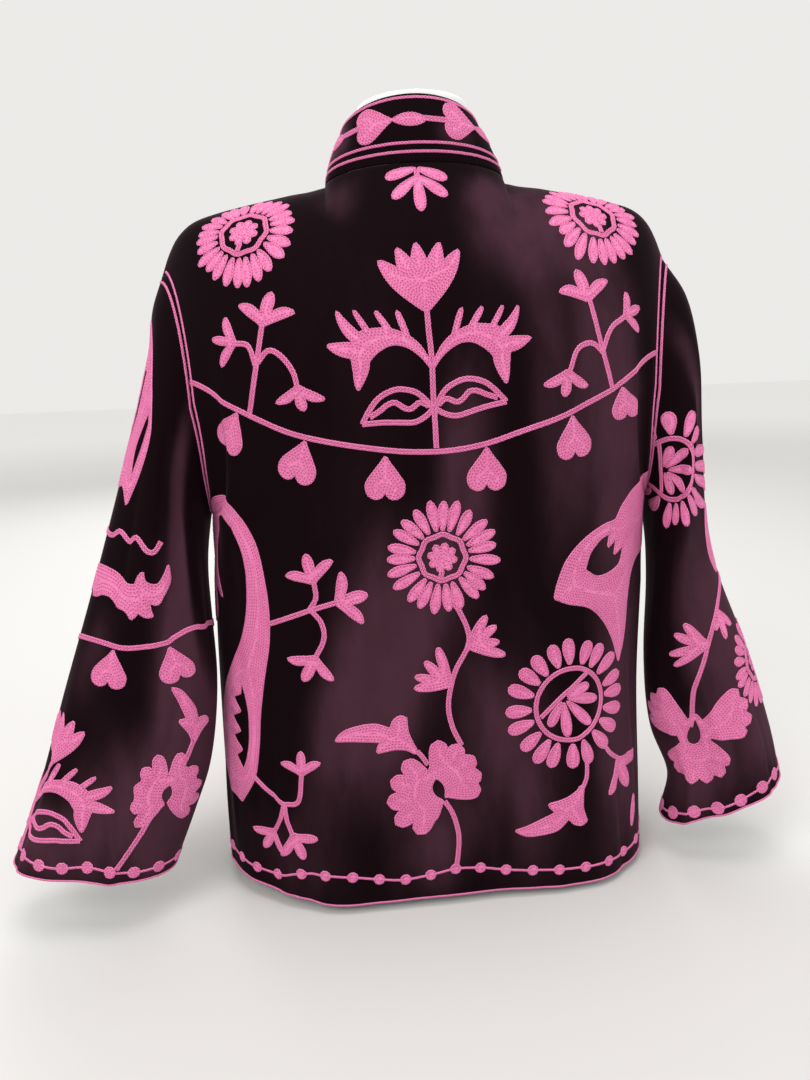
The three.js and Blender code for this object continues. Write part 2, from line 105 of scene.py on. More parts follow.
# place, aim, size in metres, power in watts, colour
LIGHTS = [
    ((1.7, 2.0, 2.3), (0, 0, 0.45), 1.6, 46, (1.0, 0.985, 0.96)),
    ((-2.2, 1.5, 1.5), (0, 0, 0.4), 1.6, 20, (0.97, 0.985, 1.0)),
    ((0.4, -2.4, 1.9), (0, 0, 0.4), 1.8, 34, (1.0, 0.99, 0.97)),
    ((0.0, 0.2, 2.6), (0, 0, 0.3), 1.4, 22, (1.0, 1.0, 1.0)),
]
for number, (place, aim, size, power, colour) in enumerate(LIGHTS):
    lamp_data = bpy.data.lights.new("softbox_%d" % number, "AREA")
    lamp_data.shape, lamp_data.size = "SQUARE", size
    lamp_data.energy, lamp_data.color = power, colour
    lamp = bpy.data.objects.new(lamp_data.name, lamp_data)
    bpy.context.scene.collection.objects.link(lamp)
    facing = np.array(aim, float) - np.array(place, float)
    facing /= np.linalg.norm(facing)
    across = np.cross(facing, [0, 0, 1.0])
    across /= np.linalg.norm(across)
    top = np.cross(across, facing)
    pose = Matrix.Identity(4)
    for i in range(3):
        pose[i][0], pose[i][1], pose[i][2], pose[i][3] = across[i], top[i], -facing[i], place[i]
    lamp.matrix_world = pose
bpy.context.scene.view_settings.view_transform = "Standard"


# ---------------------------------------------------------------- velvet and lining
# The cloth is a short-pile cotton velvet, nearly black aubergine, with a plum tone that varies at random
# and plum painted sheen in patches where the pile lies the other way and catches the light. Behind it is a
# thin black-plum satin lining.
class Strand:
    """One socket of a material, on which Python's operators add Math nodes."""

    def __init__(self, tree, socket):
        self.tree, self.socket = tree, socket

    def feed(self, target, value):
        """Links a Strand to a node's input, or sets the input to a value."""
        if isinstance(value, Strand):
            self.tree.links.new(value.socket, target)
        else:
            target.default_value = value

    def node(self, kind, settings=None, **inputs):
        made = self.tree.nodes.new(kind)
        for key, value in (settings or {}).items():
            if key == "stops":
                ramp = made.color_ramp
                while len(ramp.elements) < len(value):
                    ramp.elements.new(0.5)
                for element, (place, colour) in zip(ramp.elements, value):
                    element.position, element.color = place, colour
            else:
                setattr(made, key, value)
        for key, value in inputs.items():
            self.feed(made.inputs[key.replace("_", " ")], value)
        return made

    def take(self, made, name=0):
        return Strand(self.tree, made.outputs[name])

    def maths(self, operation, *values, clamp=False):
        made = self.node("ShaderNodeMath", {"operation": operation, "use_clamp": clamp})
        for target, value in zip(made.inputs, values):
            self.feed(target, value)
        return self.take(made)

    def __add__(self, other):
        return self.maths("ADD", self, other)

    __radd__ = __add__

    def __mul__(self, other):
        return self.maths("MULTIPLY", self, other)

    __rmul__ = __mul__

    def __sub__(self, other):
        return self.maths("SUBTRACT", self, other)

    def __rsub__(self, other):
        return self.maths("SUBTRACT", other, self)

    def between(self, low, high):
        made = self.node("ShaderNodeMapRange", {"interpolation_type": "SMOOTHSTEP"},
                         Value=self, From_Min=low, From_Max=high)
        return self.take(made)

    def colours(self, first, second):
        made = self.node("ShaderNodeMix", {"data_type": "RGBA"})
        for number, value in ((0, self), (6, first), (7, second)):
            self.feed(made.inputs[number], value)
        return self.take(made, 2)


def start_material(name):
    made = bpy.data.materials.new(name)
    made.use_nodes = True
    tree = made.node_tree
    return made, Strand(tree, None), tree.nodes["Principled BSDF"]


def grain(strand, where, scale, detail=3.0, rough=0.55, lean=0.0):
    made = strand.node("ShaderNodeTexNoise", {"noise_dimensions": "3D"}, Vector=where,
                       Scale=scale, Detail=detail, Roughness=rough, Distortion=lean)
    return strand.take(made)


def stretched(strand, where, amounts):
    made = strand.node("ShaderNodeVectorMath", {"operation": "MULTIPLY"})
    strand.feed(made.inputs[0], where)
    strand.feed(made.inputs[1], amounts)
    return strand.take(made)


# Near-black velvet, and a plum that is partly random tone and partly painted sheen; the lining's two tones
# vary at random.
VELVET_DARK = (0.0034, 0.0009, 0.0017, 1)
VELVET_PLUM_AND_SHEEN = (0.056, 0.0205, 0.0330, 1)
LINING_DARK, LINING_PLUM = (0.010, 0.005, 0.008, 1), (0.035, 0.014, 0.024, 1)


def make_velvet():
    made, strand, shader = start_material("velvet")
    spot = strand.take(strand.node("ShaderNodeTexCoord"), "Object")
    long_spot = stretched(strand, spot, (1.0, 1.0, 0.34))
    lay = grain(strand, long_spot, 9.0, 3.0, 0.5, 0.5)       # which way the pile lies
    rub = grain(strand, long_spot, 38.0, 4.0, 0.62, 0.3)
    pile = grain(strand, spot, 900.0, 2.0, 0.6)
    # Painted sheen: each piece's patches, together with the noise, turn the colour plum where the pile
    # would catch the light.
    brushed = strand.take(strand.node("ShaderNodeAttribute", {"attribute_name": "brushed"}), "Fac")
    sheen_amount = brushed * (lay * 1.7 + rub * 0.5 - 0.15)
    pile_tone_and_sheen = (sheen_amount + (lay + rub * 0.3) * 0.5).between(0.30, 1.15)
    shade = pile_tone_and_sheen * (0.62 + rub * 0.4) + pile * 0.05
    strand.feed(shader.inputs["Base Color"], shade.colours(VELVET_DARK, VELVET_PLUM_AND_SHEEN))
    strand.feed(shader.inputs["Roughness"], 0.90 - pile_tone_and_sheen * 0.12)
    nap = strand.node("ShaderNodeBump", Strength=0.2, Distance=0.0006,
                      Height=pile + rub * 0.7)
    strand.feed(shader.inputs["Normal"], strand.take(nap))
    shader.inputs["Sheen Weight"].default_value = 0.10
    shader.inputs["Sheen Roughness"].default_value = 0.30
    shader.inputs["Sheen Tint"].default_value = (0.74, 0.40, 0.54, 1)
    shader.inputs["Specular IOR Level"].default_value = 0.045
    return made


def make_lining():
    made, strand, shader = start_material("lining")
    spot = strand.take(strand.node("ShaderNodeTexCoord"), "Object")
    weave = grain(strand, stretched(strand, spot, (1.0, 1.0, 0.12)), 1400.0, 1.0)
    cloud = grain(strand, spot, 12.0, 2.0)
    shade = cloud * 0.6 + weave * 0.3
    strand.feed(shader.inputs["Base Color"], shade.colours(LINING_DARK, LINING_PLUM))
    satin = strand.node("ShaderNodeBump", Strength=0.15, Distance=0.0003, Height=weave)
    strand.feed(shader.inputs["Normal"], strand.take(satin))
    strand.feed(shader.inputs["Roughness"], 0.46 + cloud * 0.14)
    return made


velvet, lining = make_velvet(), make_lining()

# ---------------------------------------------------------------- back
# One piece of velvet from the hem to the shoulder seams and the back of the neck, cut with
# no centre seam and lined. It is sewn to the fronts, the sleeves and the collar.
WALL = 2.0          # velvet and lining together
SEAM = 0.3          # between neighbouring pieces
FOLDED_EDGE = 0.6
SOFT_ANGLE = 50     # degrees, up to which the shading of two faces runs on
HEM_Z, UNDERARM_Z, BLADE_Z = 12.0, 392.0, 500.0
ARM_DEPTH = 52.0
NECK_HALF, NECK_SHARE, NECK_SIDE_Z = 86.0, 0.28, 697.0
NECK = {"back": (68.0, 702.0), "front": (-66.0, 640.0)}

# z, half width, shift to the wearer's left, depth behind, depth in front, squareness
BODY = np.array([
    (0, 226, 3, 127, 120, 2.9), (80, 225, 3, 124, 120, 2.8), (190, 223.5, 2.5, 121, 123, 2.55),
    (300, 224, -1, 119, 127, 2.4), (392, 224, -5, 119, 131, 2.3), (440, 231, -4, 119, 131, 2.3),
    (500, 240, -2, 118, 129, 2.3)])
# share of the way from the neck to the armhole, x, z
SHOULDER = np.array([
    (0, 86, 697), (0.2, 118, 690), (0.42, 156, 683), (0.63, 192, 675.5), (0.77, 215, 668),
    (0.87, 230, 656), (0.94, 240, 640), (1, 248, 621)])
# across, rise, out
HEM = np.array([
    (-1, 0, 0), (-0.62, -4, 3), (-0.3, -5, 2), (-0.03, -3, -2), (0.22, -3, 1), (0.5, 3, -2),
    (0.75, 6, -3), (1, 7, 0)])
# across, from z, to z, half width as a share of the panel, out, drift across per metre down
FOLDS = {
    "back": [
        (-0.24, 470, 690, 0.10, -3.5, 0), (-0.36, 420, 650, 0.12, 3, 0),
        (0.22, -60, 230, 0.16, 6, 0), (0.5, -50, 330, 0.13, -4, 0),
        (-0.1, -60, 150, 0.12, -4, 0), (-0.42, -80, 190, 0.15, 4, 0),
        (-0.7, 60, 440, 0.12, -4, 0), (0.66, 250, 520, 0.14, 3.5, 0),
        (0.84, 330, 560, 0.09, -4, 0), (-0.84, 300, 560, 0.09, -3.5, 0)],
    "front": [
        (0.36, -90, 470, 0.14, 6, 0), (0.6, -40, 400, 0.12, -5, 0), (0.8, 280, 590, 0.10, -5, 0),
        (-0.3, -90, 430, 0.13, 7, 0), (-0.55, -60, 450, 0.13, -5, 0),
        (-0.8, 250, 580, 0.11, -4.5, 0)],
}
# Fine creases, in the same columns
CREASES = {
    "back": [
        (-0.262, 455, 668, 0.022, -1.6, 0.02), (-0.30, 470, 640, 0.035, 1.2, 0.03),
        (-0.205, 500, 640, 0.028, 1.0, -0.02), (0.10, 560, 680, 0.045, -0.9, 0.1),
        (0.36, 520, 650, 0.05, -1.3, 0.25), (0.55, 470, 600, 0.045, 1.2, 0.4),
        (0.78, 360, 520, 0.035, -1.8, 0.35), (0.70, 400, 480, 0.03, 1.2, 0.5),
        (-0.62, 430, 590, 0.04, -1.6, -0.35), (-0.74, 380, 540, 0.035, 1.4, -0.4),
        (-0.88, 330, 450, 0.03, -1.6, -0.2), (0.90, 250, 400, 0.03, -1.4, 0.2),
        (0.62, 90, 300, 0.05, -2.2, 0.12), (0.74, 40, 210, 0.04, 1.8, 0.05),
        (0.44, -20, 240, 0.045, 2.4, -0.1), (0.30, -30, 160, 0.05, -2.6, 0.05),
        (0.06, -20, 190, 0.045, 2.2, 0.08), (-0.20, -30, 120, 0.05, -2.0, 0.0),
        (-0.33, 20, 260, 0.04, 1.8, -0.1), (-0.54, -20, 170, 0.05, -2.6, -0.06),
        (-0.66, 70, 250, 0.04, 2.0, -0.1), (-0.80, -10, 150, 0.05, -2.0, 0.0),
        (0.86, -10, 140, 0.045, 2.0, 0.0), (0.16, 230, 420, 0.06, -1.2, 0.1),
        (-0.12, 260, 400, 0.05, 1.0, -0.08), (0.52, 300, 430, 0.06, -1.3, 0.15)],
    "front": [
        (0.20, 430, 620, 0.04, -1.8, 0.2), (0.34, 470, 640, 0.045, 1.6, 0.3),
        (0.62, 420, 590, 0.04, -2.0, 0.4), (0.75, 380, 500, 0.035, 1.6, 0.4),
        (0.88, 300, 440, 0.03, -1.8, 0.2), (0.46, 60, 330, 0.045, -2.6, 0.1),
        (0.24, -20, 210, 0.04, 2.2, 0.0), (0.70, -20, 190, 0.05, 2.4, 0.0),
        (0.12, 120, 320, 0.035, -1.4, 0.05), (0.84, 20, 170, 0.04, -2.0, 0.0),
        (-0.18, 420, 610, 0.04, -1.6, -0.2), (-0.36, 480, 640, 0.045, 1.8, -0.3),
        (-0.60, 400, 570, 0.04, -2.2, -0.4), (-0.73, 370, 490, 0.035, 1.5, -0.4),
        (-0.90, 290, 430, 0.03, -1.6, -0.2), (-0.42, 40, 300, 0.045, -2.2, -0.1),
        (-0.22, -30, 180, 0.04, 2.4, 0.0), (-0.68, -10, 230, 0.05, 2.2, 0.0),
        (-0.10, 150, 350, 0.035, -1.5, -0.05), (-0.86, 10, 180, 0.04, -1.8, 0.0)],
}


def read(table, at, column):
    """A column of a table at values of its first one, by a smooth curve through its rows."""
    keys, values = table[:, 0], table[:, column]
    before, after = np.arange(len(keys)) - 1, np.arange(len(keys)) + 1
    before, after = before.clip(0), after.clip(max=len(keys) - 1)
    slopes = (values[after] - values[before]) / (keys[after] - keys[before])
    at = np.asarray(at, float)
    i = np.clip(np.searchsorted(keys, at, side="left") - 1, 0, len(keys) - 2)
    span = keys[i + 1] - keys[i]
    t = np.clip((at - keys[i]) / span, 0, 1)
    return (values[i] * (2 * t ** 3 - 3 * t ** 2 + 1) + values[i + 1] * (3 * t ** 2 - 2 * t ** 3)
            + span * (slopes[i] * (t ** 3 - 2 * t ** 2 + t) + slopes[i + 1] * (t ** 3 - t ** 2)))


def lerp(a, b, t):
    return a + (b - a) * t


def smooth(a, b, x):
    t = np.clip((x - a) / (b - a), 0, 1)
    return t * t * (3 - 2 * t)


def bump(x):
    return np.where(np.abs(x) < 1, (1 - np.minimum(x * x, 1)) ** 2, 0.0)


def fade(start, end, x):
    return np.sqrt(bump((x - (start + end) / 2) / ((end - start) / 2 + 1e-9)))


def unit(vectors):
    return vectors / np.maximum(np.linalg.norm(vectors, axis=-1, keepdims=True), 1e-12)


def top_point(face, across):
    """The neckline for the inner columns, then the shoulder line out to the armhole."""
    share, side = np.abs(across), np.sign(across)
    depth, z = NECK[face]
    turn = np.minimum(share / NECK_SHARE, 1) * math.pi / 2
    climb = (1 - np.cos(turn)) ** (1.0 if face == "back" else 0.65)
    neck = np.stack([side * NECK_HALF * np.sin(turn), depth * np.cos(turn),
                     lerp(z, NECK_SIDE_Z, climb)], -1)
    along = (share - NECK_SHARE) / (1 - NECK_SHARE)
    seam = np.stack([side * read(SHOULDER, along, 1), 0 * along, read(SHOULDER, along, 2)], -1)
    return np.where((share <= NECK_SHARE)[..., None], neck, seam)


def body_ring(face, across, z):
    share, side = np.abs(across), np.sign(across)
    way = 1 if face == "back" else -1
    rise = np.clip((z - UNDERARM_Z) / (BLADE_Z - UNDERARM_Z), 0, 1)
    edge = ARM_DEPTH * np.sqrt(np.maximum(1 - (1 - rise) ** 2, 0))
    deep = read(BODY, z, 3 if face == "back" else 4)
    power = 2 / read(BODY, z, 5)
    edge_turn = np.arcsin((edge / deep) ** (1 / power))
    turn = lerp(math.pi / 2, edge_turn, share)
    x = read(BODY, z, 2) + side * read(BODY, z, 1) * np.maximum(np.cos(turn), 0) ** power
    return np.stack([x, way * deep * np.sin(turn) ** power, z + 0 * turn], -1)


def body_point(face, across, level):
    """across: -1 at the right edge, 1 at the left one. level: 0 at the hem, 1 at the
    underarm, 2 at the shoulder blades, 3 at the neckline and the shoulder seam."""
    across, level = np.broadcast_arrays(np.asarray(across, float), np.asarray(level, float))
    share = np.abs(across)
    hem = HEM_Z + read(HEM, across, 1)
    z = np.where(level < 1, lerp(hem, UNDERARM_Z, level),
                 lerp(UNDERARM_Z, BLADE_Z, np.clip(level - 1, 0, 1)))
    low = body_ring(face, across, z)
    top = top_point(face, across)
    rise = np.clip(level - 2, 0, 1)
    angle = rise * math.pi / 2
    neck = 1 - smooth(NECK_SHARE * 0.4, NECK_SHARE + 0.16, share)
    points = np.stack([
        lerp(low[..., 0], top[..., 0], 1 - np.cos(angle)),
        lerp(low[..., 1], top[..., 1], lerp(1 - np.cos(angle), rise ** 2.2, neck)),
        lerp(low[..., 2], top[..., 2], lerp(np.sin(angle), rise, neck))], -1)
    out = np.zeros(share.shape)
    height = points[..., 2]
    for at, start, end, wide, amount, drift in FOLDS[face] + CREASES[face]:
        place = at + drift * (end - height) / 1000
        out += amount * bump((across - place) / wide) * fade(start, end, height)
    if face == "back":
        out += read(HEM, across, 2) * (1 - smooth(0, 220, height))
    out *= 1 - smooth(0.88, 0.98, share)
    away = unit(points * (0.5, 1, 0))
    points = points + away * out[..., None]
    way = 1 if face == "back" else -1
    points[..., 1] = way * np.maximum(way * points[..., 1], SEAM / 2)
    return points


# Rows of a panel from the hem up, and columns of half a panel from the centre out.
LEVELS = np.concatenate([
    np.linspace(0, 1, 80, endpoint=False),
    2 - np.cos(np.linspace(0, math.pi / 2, 24, endpoint=False)),
    np.linspace(2, 3, 48)])
SHARES = np.concatenate([np.linspace(0, NECK_SHARE, 19), np.linspace(NECK_SHARE, 1, 46)[1:]])


class Cloth:
    """A grid of points whose rows run up and whose columns run to the right, seen from
    outside, with the flat place of each: a to the right from the column zero, b up."""

    def __init__(self, points, zero, closed=False):
        self.points, self.closed = points, closed
        right = np.gradient(points, axis=1)
        if closed:      # the last column lies on the first one
            right[:, 0] = right[:, -1] = points[:, 1] - points[:, -2]
        self.normals = unit(np.cross(right, np.gradient(points, axis=0)))
        steps = np.linalg.norm(np.diff(points, axis=1), axis=2)
        self.a = np.concatenate([np.zeros((len(points), 1)), steps.cumsum(1)], 1)
        self.a -= self.a[:, zero:zero + 1]
        up = np.linalg.norm(np.diff(points[:, zero], axis=0), axis=1)
        self.b = np.concatenate([[0], up.cumsum()])
        self.low = self.a.min()
        self.steps = np.arange(self.low, self.a.max() + 1)
        self.columns = np.stack([
            np.interp(self.steps, row, np.arange(len(row)), left=-9, right=-9) for row in self.a])

    def place(self, flat, lift):
        """Points on the cloth for flat places, and whether each is really on it."""
        row = np.interp(flat[:, 1], self.b, np.arange(len(self.b)), left=-9, right=-9)
        across = flat[:, 0] - self.low
        held = (row >= 0) & (across >= 0) & (across < len(self.steps) - 1)
        i = np.clip(row.astype(int), 0, len(self.b) - 2)
        f = np.clip(row - i, 0, 1)
        k = np.clip(across.astype(int), 0, len(self.steps) - 2)
        g = np.clip(across - k, 0, 1)
        corners = [self.columns[i, k], self.columns[i, k + 1],
                   self.columns[i + 1, k], self.columns[i + 1, k + 1]]
        held &= np.minimum.reduce(corners) >= 0
        column = lerp(lerp(corners[0], corners[1], g), lerp(corners[2], corners[3], g), f)
        j = np.clip(column.astype(int), 0, self.points.shape[1] - 2)
        h = np.clip(column - j, 0, 1)[:, None]
        f = f[:, None]

        def mixed(values):
            return lerp(lerp(values[i, j], values[i, j + 1], h),
                        lerp(values[i + 1, j], values[i + 1, j + 1], h), f)

        return mixed(self.points) + unit(mixed(self.normals)) * lift[:, None], held


def cut_cloth(name, cloth, brushed):
    """Sews a cloth's grid into a piece: velvet outside, lining inside, soft folded edges.
    The rows of the last argument place patches of painted sheen, where the pile is stroked up
    and catches the light: a, b, half width, half height, drift to the right on the way up, amount."""
    points = cloth.points[:, :-1] if cloth.closed else cloth.points
    rows, columns = points.shape[:2]
    ids = np.arange(rows * columns).reshape(rows, columns)
    if cloth.closed:
        ids = np.concatenate([ids, ids[:, :1]], 1)
    quads = np.stack([ids[:-1, :-1], ids[:-1, 1:], ids[1:, 1:], ids[1:, :-1]], -1).reshape(-1, 4)
    mesh = bpy.data.meshes.new(name)
    mesh.from_pydata((points.reshape(-1, 3) / 1000).tolist(), [], quads.tolist())
    piece = bpy.data.objects.new(name, mesh)
    bpy.context.scene.collection.objects.link(piece)
    mesh.materials.append(velvet)
    mesh.materials.append(lining)
    # Painted sheen: how strongly each point of the velvet is made plum, as if its pile caught the light
    # there.
    sheen_amount = np.zeros((rows, columns))
    for a, b, wide, tall, drift, amount in brushed:
        up = cloth.b[:, None] - b
        sheen_amount += amount * bump((cloth.a[:, :columns] - a - drift * up) / wide) * bump(up / tall)
    lay = mesh.attributes.new("brushed", "FLOAT", "POINT")
    lay.data.foreach_set("value", sheen_amount.astype(np.float32).ravel())
    bpy.ops.object.select_all(action="DESELECT")
    piece.select_set(True)
    bpy.context.view_layer.objects.active = piece
    wall = piece.modifiers.new("wall", "SOLIDIFY")
    wall.thickness, wall.offset, wall.use_rim = WALL / 1000, -1, True
    wall.material_offset, wall.material_offset_rim = 1, 0
    edge = piece.modifiers.new("folded_edge", "BEVEL")
    edge.width, edge.segments, edge.limit_method = FOLDED_EDGE / 1000, 1, "ANGLE"
    edge.angle_limit = math.radians(60)
    bpy.ops.object.modifier_apply(modifier="wall")
    bpy.ops.object.modifier_apply(modifier="folded_edge")
    bpy.ops.object.shade_smooth_by_angle(angle=math.radians(SOFT_ANGLE))
    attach(piece, "root")
    return piece


across = np.concatenate([SHARES[::-1], -SHARES[1:]])       # the wearer's left shows left
back = Cloth(body_point("back", across[None], LEVELS[:, None]), len(SHARES) - 1)
# Patches of painted sheen on the back, where the velvet is made plum as if its pile caught the light.
BACK_SHEEN_PATCHES = [
    (104, 630, 92, 84, -0.35, 0.72), (60, 672, 40, 30, -0.3, 0.45), (-88, 668, 42, 40, 0.2, 0.5),
    (22, 410, 40, 170, 0.05, 0.6), (108, 470, 34, 190, -0.05, 0.5), (172, 470, 60, 200, -0.04, 0.95),
    (205, 190, 70, 260, 0.0, 0.8),
    (-62, 235, 75, 190, 0.25, 0.95), (70, 140, 75, 190, -0.1, 0.6), (-150, 40, 90, 90, 0.0, 0.45),
    (-12, 60, 60, 90, 0.1, 0.5)]
back_piece = cut_cloth("velvet_back", back, BACK_SHEEN_PATCHES)
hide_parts("back_panel")

# ---------------------------------------------------------------- fronts
# Two velvet fronts cut as a pair, open edge to edge down the middle and lined like the back.
# z, half of the opening between them
OPENING = np.array([(0, 15), (300, 8), (640, 3)])


def front_point(side, share, level):
    points = body_point("front", side * np.maximum(share, 1e-6), level)
    share = np.broadcast_to(share, points.shape[:-1])
    apart = read(OPENING, points[..., 2], 1) * (1 - np.minimum(share / 0.5, 1)) ** 2
    points[..., 0] += side * apart
    return points


# Patches of painted sheen on each front.
FRONT_SHEEN_PATCHES = [
    (70, 590, 60, 90, 0.0, 0.8), (150, 430, 60, 200, 0.1, 0.7), (60, 330, 40, 190, 0.0, 0.5),
    (215, 250, 60, 230, 0.0, 0.8), (110, 120, 70, 160, 0.1, 0.8)]

fronts = {}
for word, side in (("left", 1), ("right", -1)):
    # From the front the wearer's left shows right, so its columns run outwards.
    shares = SHARES if side > 0 else SHARES[::-1]
    fronts[word] = Cloth(front_point(side, shares[None], LEVELS[:, None]),
                         0 if side > 0 else len(SHARES) - 1)
    brushed = [(side * a, *rest) for a, *rest in FRONT_SHEEN_PATCHES]
    piece = cut_cloth("velvet_front_" + word, fronts[word], brushed)
    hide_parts("front_" + word)

# ---------------------------------------------------------------- sleeves
# Each sleeve is one tube of velvet set into the armhole. It hangs empty and creased from
# the shoulder, with an open cuff.
STAND_OFF = 3.0
# down, outer line x y z, inner line x y z, half depth
SLEEVES = {
    "left": np.array([
        (0, 248, 0, 621, 219, 0, 392, 52), (0.07, 259, 9, 588, 222, 10, 370, 54),
        (0.15, 264, 19, 546, 223.5, 22, 342, 53), (0.3, 291, 38, 452, 221, 42, 288, 50),
        (0.5, 329, 55, 335, 221, 60, 215, 46), (0.7, 366, 67, 230, 231, 74, 148, 44),
        (0.86, 396, 77, 142, 250, 83, 98, 44), (1, 428, 85, 65, 271, 90, 49, 45)]),
    "right": np.array([
        (0, 248, 0, 621, 229, 0, 392, 52), (0.07, 269, 8, 586, 232, 8, 370, 54),
        (0.15, 277, 14, 541, 232, 14, 342, 53), (0.3, 281, 26, 450, 229, 27, 285, 49),
        (0.5, 290, 38, 335, 225, 37, 208, 45), (0.7, 328, 46, 228, 231, 44, 138, 42),
        (0.86, 354, 52, 144, 250, 50, 82, 41), (1, 367, 56, 85, 241, 56, 38, 42)]),
}
# turn round the tube, from, to, half width, drift on the way down, out
SLEEVE_FOLDS = {
    "left": [
        (0.16, 0.02, 0.62, 0.055, 0.06, 4.5), (0.27, 0.0, 0.5, 0.05, 0.05, -5),
        (0.38, 0.08, 0.55, 0.06, -0.02, 4), (0.22, 0.55, 1.3, 0.07, 0.03, -5),
        (0.1, 0.5, 1.2, 0.06, 0.02, 3.5), (0.72, 0.05, 0.75, 0.06, -0.05, -5),
        (0.85, 0.2, 1.1, 0.06, 0.03, 4)],
    "right": [
        (0.12, -0.05, 0.5, 0.055, 0.05, -4.5), (0.22, 0.0, 0.62, 0.05, 0.05, 5),
        (0.33, 0.1, 0.66, 0.05, 0.03, -4.5), (0.17, 0.5, 1.25, 0.07, -0.02, 4.5),
        (0.32, 0.62, 1.3, 0.06, 0.02, -5), (0.7, 0.1, 0.8, 0.06, 0.04, -5),
        (0.84, 0.25, 1.2, 0.07, -0.03, 4.5)],
}
SLEEVE_CREASES = {
    "left": [
        (0.20, 0.10, 0.44, 0.018, 0.10, -2.0), (0.32, 0.06, 0.36, 0.018, 0.05, 1.8),
        (0.13, 0.25, 0.60, 0.016, 0.08, -1.8), (0.25, 0.40, 0.72, 0.02, -0.05, 2.0),
        (0.34, 0.44, 0.80, 0.02, -0.06, -2.2), (0.17, 0.60, 0.98, 0.018, -0.03, -1.8),
        (0.29, 0.70, 1.2, 0.022, 0.03, 2.2), (0.07, 0.66, 1.1, 0.02, 0.02, -1.8),
        (0.42, 0.12, 0.40, 0.02, -0.03, -1.8), (0.62, 0.10, 0.42, 0.018, 0.05, 1.8),
        (0.76, 0.30, 0.66, 0.02, -0.06, 2.2), (0.68, 0.55, 0.95, 0.02, 0.03, -2.0),
        (0.90, 0.08, 0.40, 0.02, 0.04, -1.8), (0.80, 0.70, 1.2, 0.022, 0.02, -2.2)],
    "right": [
        (0.16, 0.05, 0.38, 0.018, 0.10, 1.8), (0.27, 0.08, 0.42, 0.018, 0.08, -2.2),
        (0.09, 0.20, 0.58, 0.016, 0.05, 1.6), (0.22, 0.38, 0.66, 0.018, -0.06, -2.0),
        (0.36, 0.30, 0.62, 0.02, -0.05, 2.0), (0.26, 0.60, 0.96, 0.02, -0.03, 2.2),
        (0.13, 0.68, 1.15, 0.02, 0.02, -2.0), (0.38, 0.66, 1.1, 0.022, 0.02, 2.0),
        (0.44, 0.12, 0.44, 0.02, -0.03, 1.6), (0.60, 0.16, 0.50, 0.018, 0.05, -1.8),
        (0.78, 0.22, 0.60, 0.02, -0.06, 2.0), (0.66, 0.60, 1.0, 0.02, 0.03, 2.0),
        (0.91, 0.10, 0.46, 0.02, 0.04, -1.8), (0.76, 0.72, 1.2, 0.022, 0.02, 2.0)],
}


def armhole_point(side, turn):
    behind = turn <= 0.5
    level = 3 - 4 * np.where(behind, turn, 1 - turn)
    return np.where(behind[..., None], body_point("back", side, level),
                    body_point("front", side, level))


def sleeve_point(word, turn, down):
    turn, down = np.broadcast_arrays(np.asarray(turn, float) % 1, np.asarray(down, float))
    side = 1 if word == "left" else -1
    table = SLEEVES[word]
    flip = np.array([side, 1, 1])
    out = np.stack([read(table, down, c) for c in (1, 2, 3)], -1) * flip
    inner = np.stack([read(table, down, c) for c in (4, 5, 6)], -1) * flip
    head, cuff = table[0], table[-1]
    axis = unit((cuff[1:4] + cuff[4:7] - head[1:4] - head[4:7]) * flip)
    width = inner - out
    square = unit(np.cross(width, axis))
    square = square * np.where(square[..., 1:2] < 0, -1, 1) * (1, 1, 0)
    depth = unit(lerp(np.array([0.0, 1.0, 0.0]), square, smooth(0, 0.5, down)[..., None]))
    angle = turn * 2 * math.pi
    swell = np.sign(np.sin(angle)) * np.abs(np.sin(angle)) ** 0.9
    half_turn = (1 - np.cos(angle)) / 2
    points = out + width * half_turn[..., None] + depth * (swell * read(table, down, 7))[..., None]
    first = np.stack([side * lerp(head[1], head[4], half_turn), swell * head[7],
                      lerp(head[3], head[6], half_turn)], -1)
    hold = 1 - smooth(0, 0.2, down)
    points = points + (armhole_point(side, turn) - first) * hold[..., None]
    near = smooth(0.2, 0.4, turn) * (1 - smooth(0.6, 0.8, turn))
    stand = STAND_OFF * near * smooth(0, 0.05, down) * (1 - smooth(0.2, 0.45, down))
    points = points + np.stack([side * 0.8 * stand, np.sin(angle) * 0.6 * stand, 0 * stand], -1)
    fold = np.zeros(turn.shape)
    for at, start, end, wide, drift, amount in SLEEVE_FOLDS[word] + SLEEVE_CREASES[word]:
        place = at + drift * (down - start)
        fold += amount * bump((turn - place) / wide) * fade(start, end, down)
    fold *= smooth(0.04, 0.2, down)
    points = points + unit(points - (out + inner) / 2) * fold[..., None]
    return points


# Patches of painted sheen on each sleeve.
SLEEVE_SHEEN_PATCHES = {
    "left": [
        (22, 330, 30, 190, -0.15, 1.1), (52, 190, 60, 170, -0.25, 1.1), (34, 70, 100, 120, 0.0, 1.1),
        (-62, 190, 30, 60, 0.0, 0.35), (92, 130, 60, 150, 0.0, 1.0), (-70, 30, 60, 50, 0.0, 0.7),
        (210, 300, 70, 190, 0.0, 0.8), (230, 90, 90, 110, 0.0, 0.7)],
    "right": [
        (34, 170, 70, 190, -0.2, 0.9), (-20, 60, 90, 90, 0.0, 0.9), (74, 110, 60, 140, 0.0, 0.8),
        (66, 350, 30, 150, 0.0, 0.6), (-85, 110, 30, 120, 0.0, 0.5),
        (-220, 300, 70, 190, 0.0, 0.8), (-210, 90, 90, 110, 0.0, 0.7)],
}
SLEEVE_DOWNS = np.linspace(1, 0, 107) ** 1.15
SLEEVE_TURNS = np.linspace(0, 1, 105)

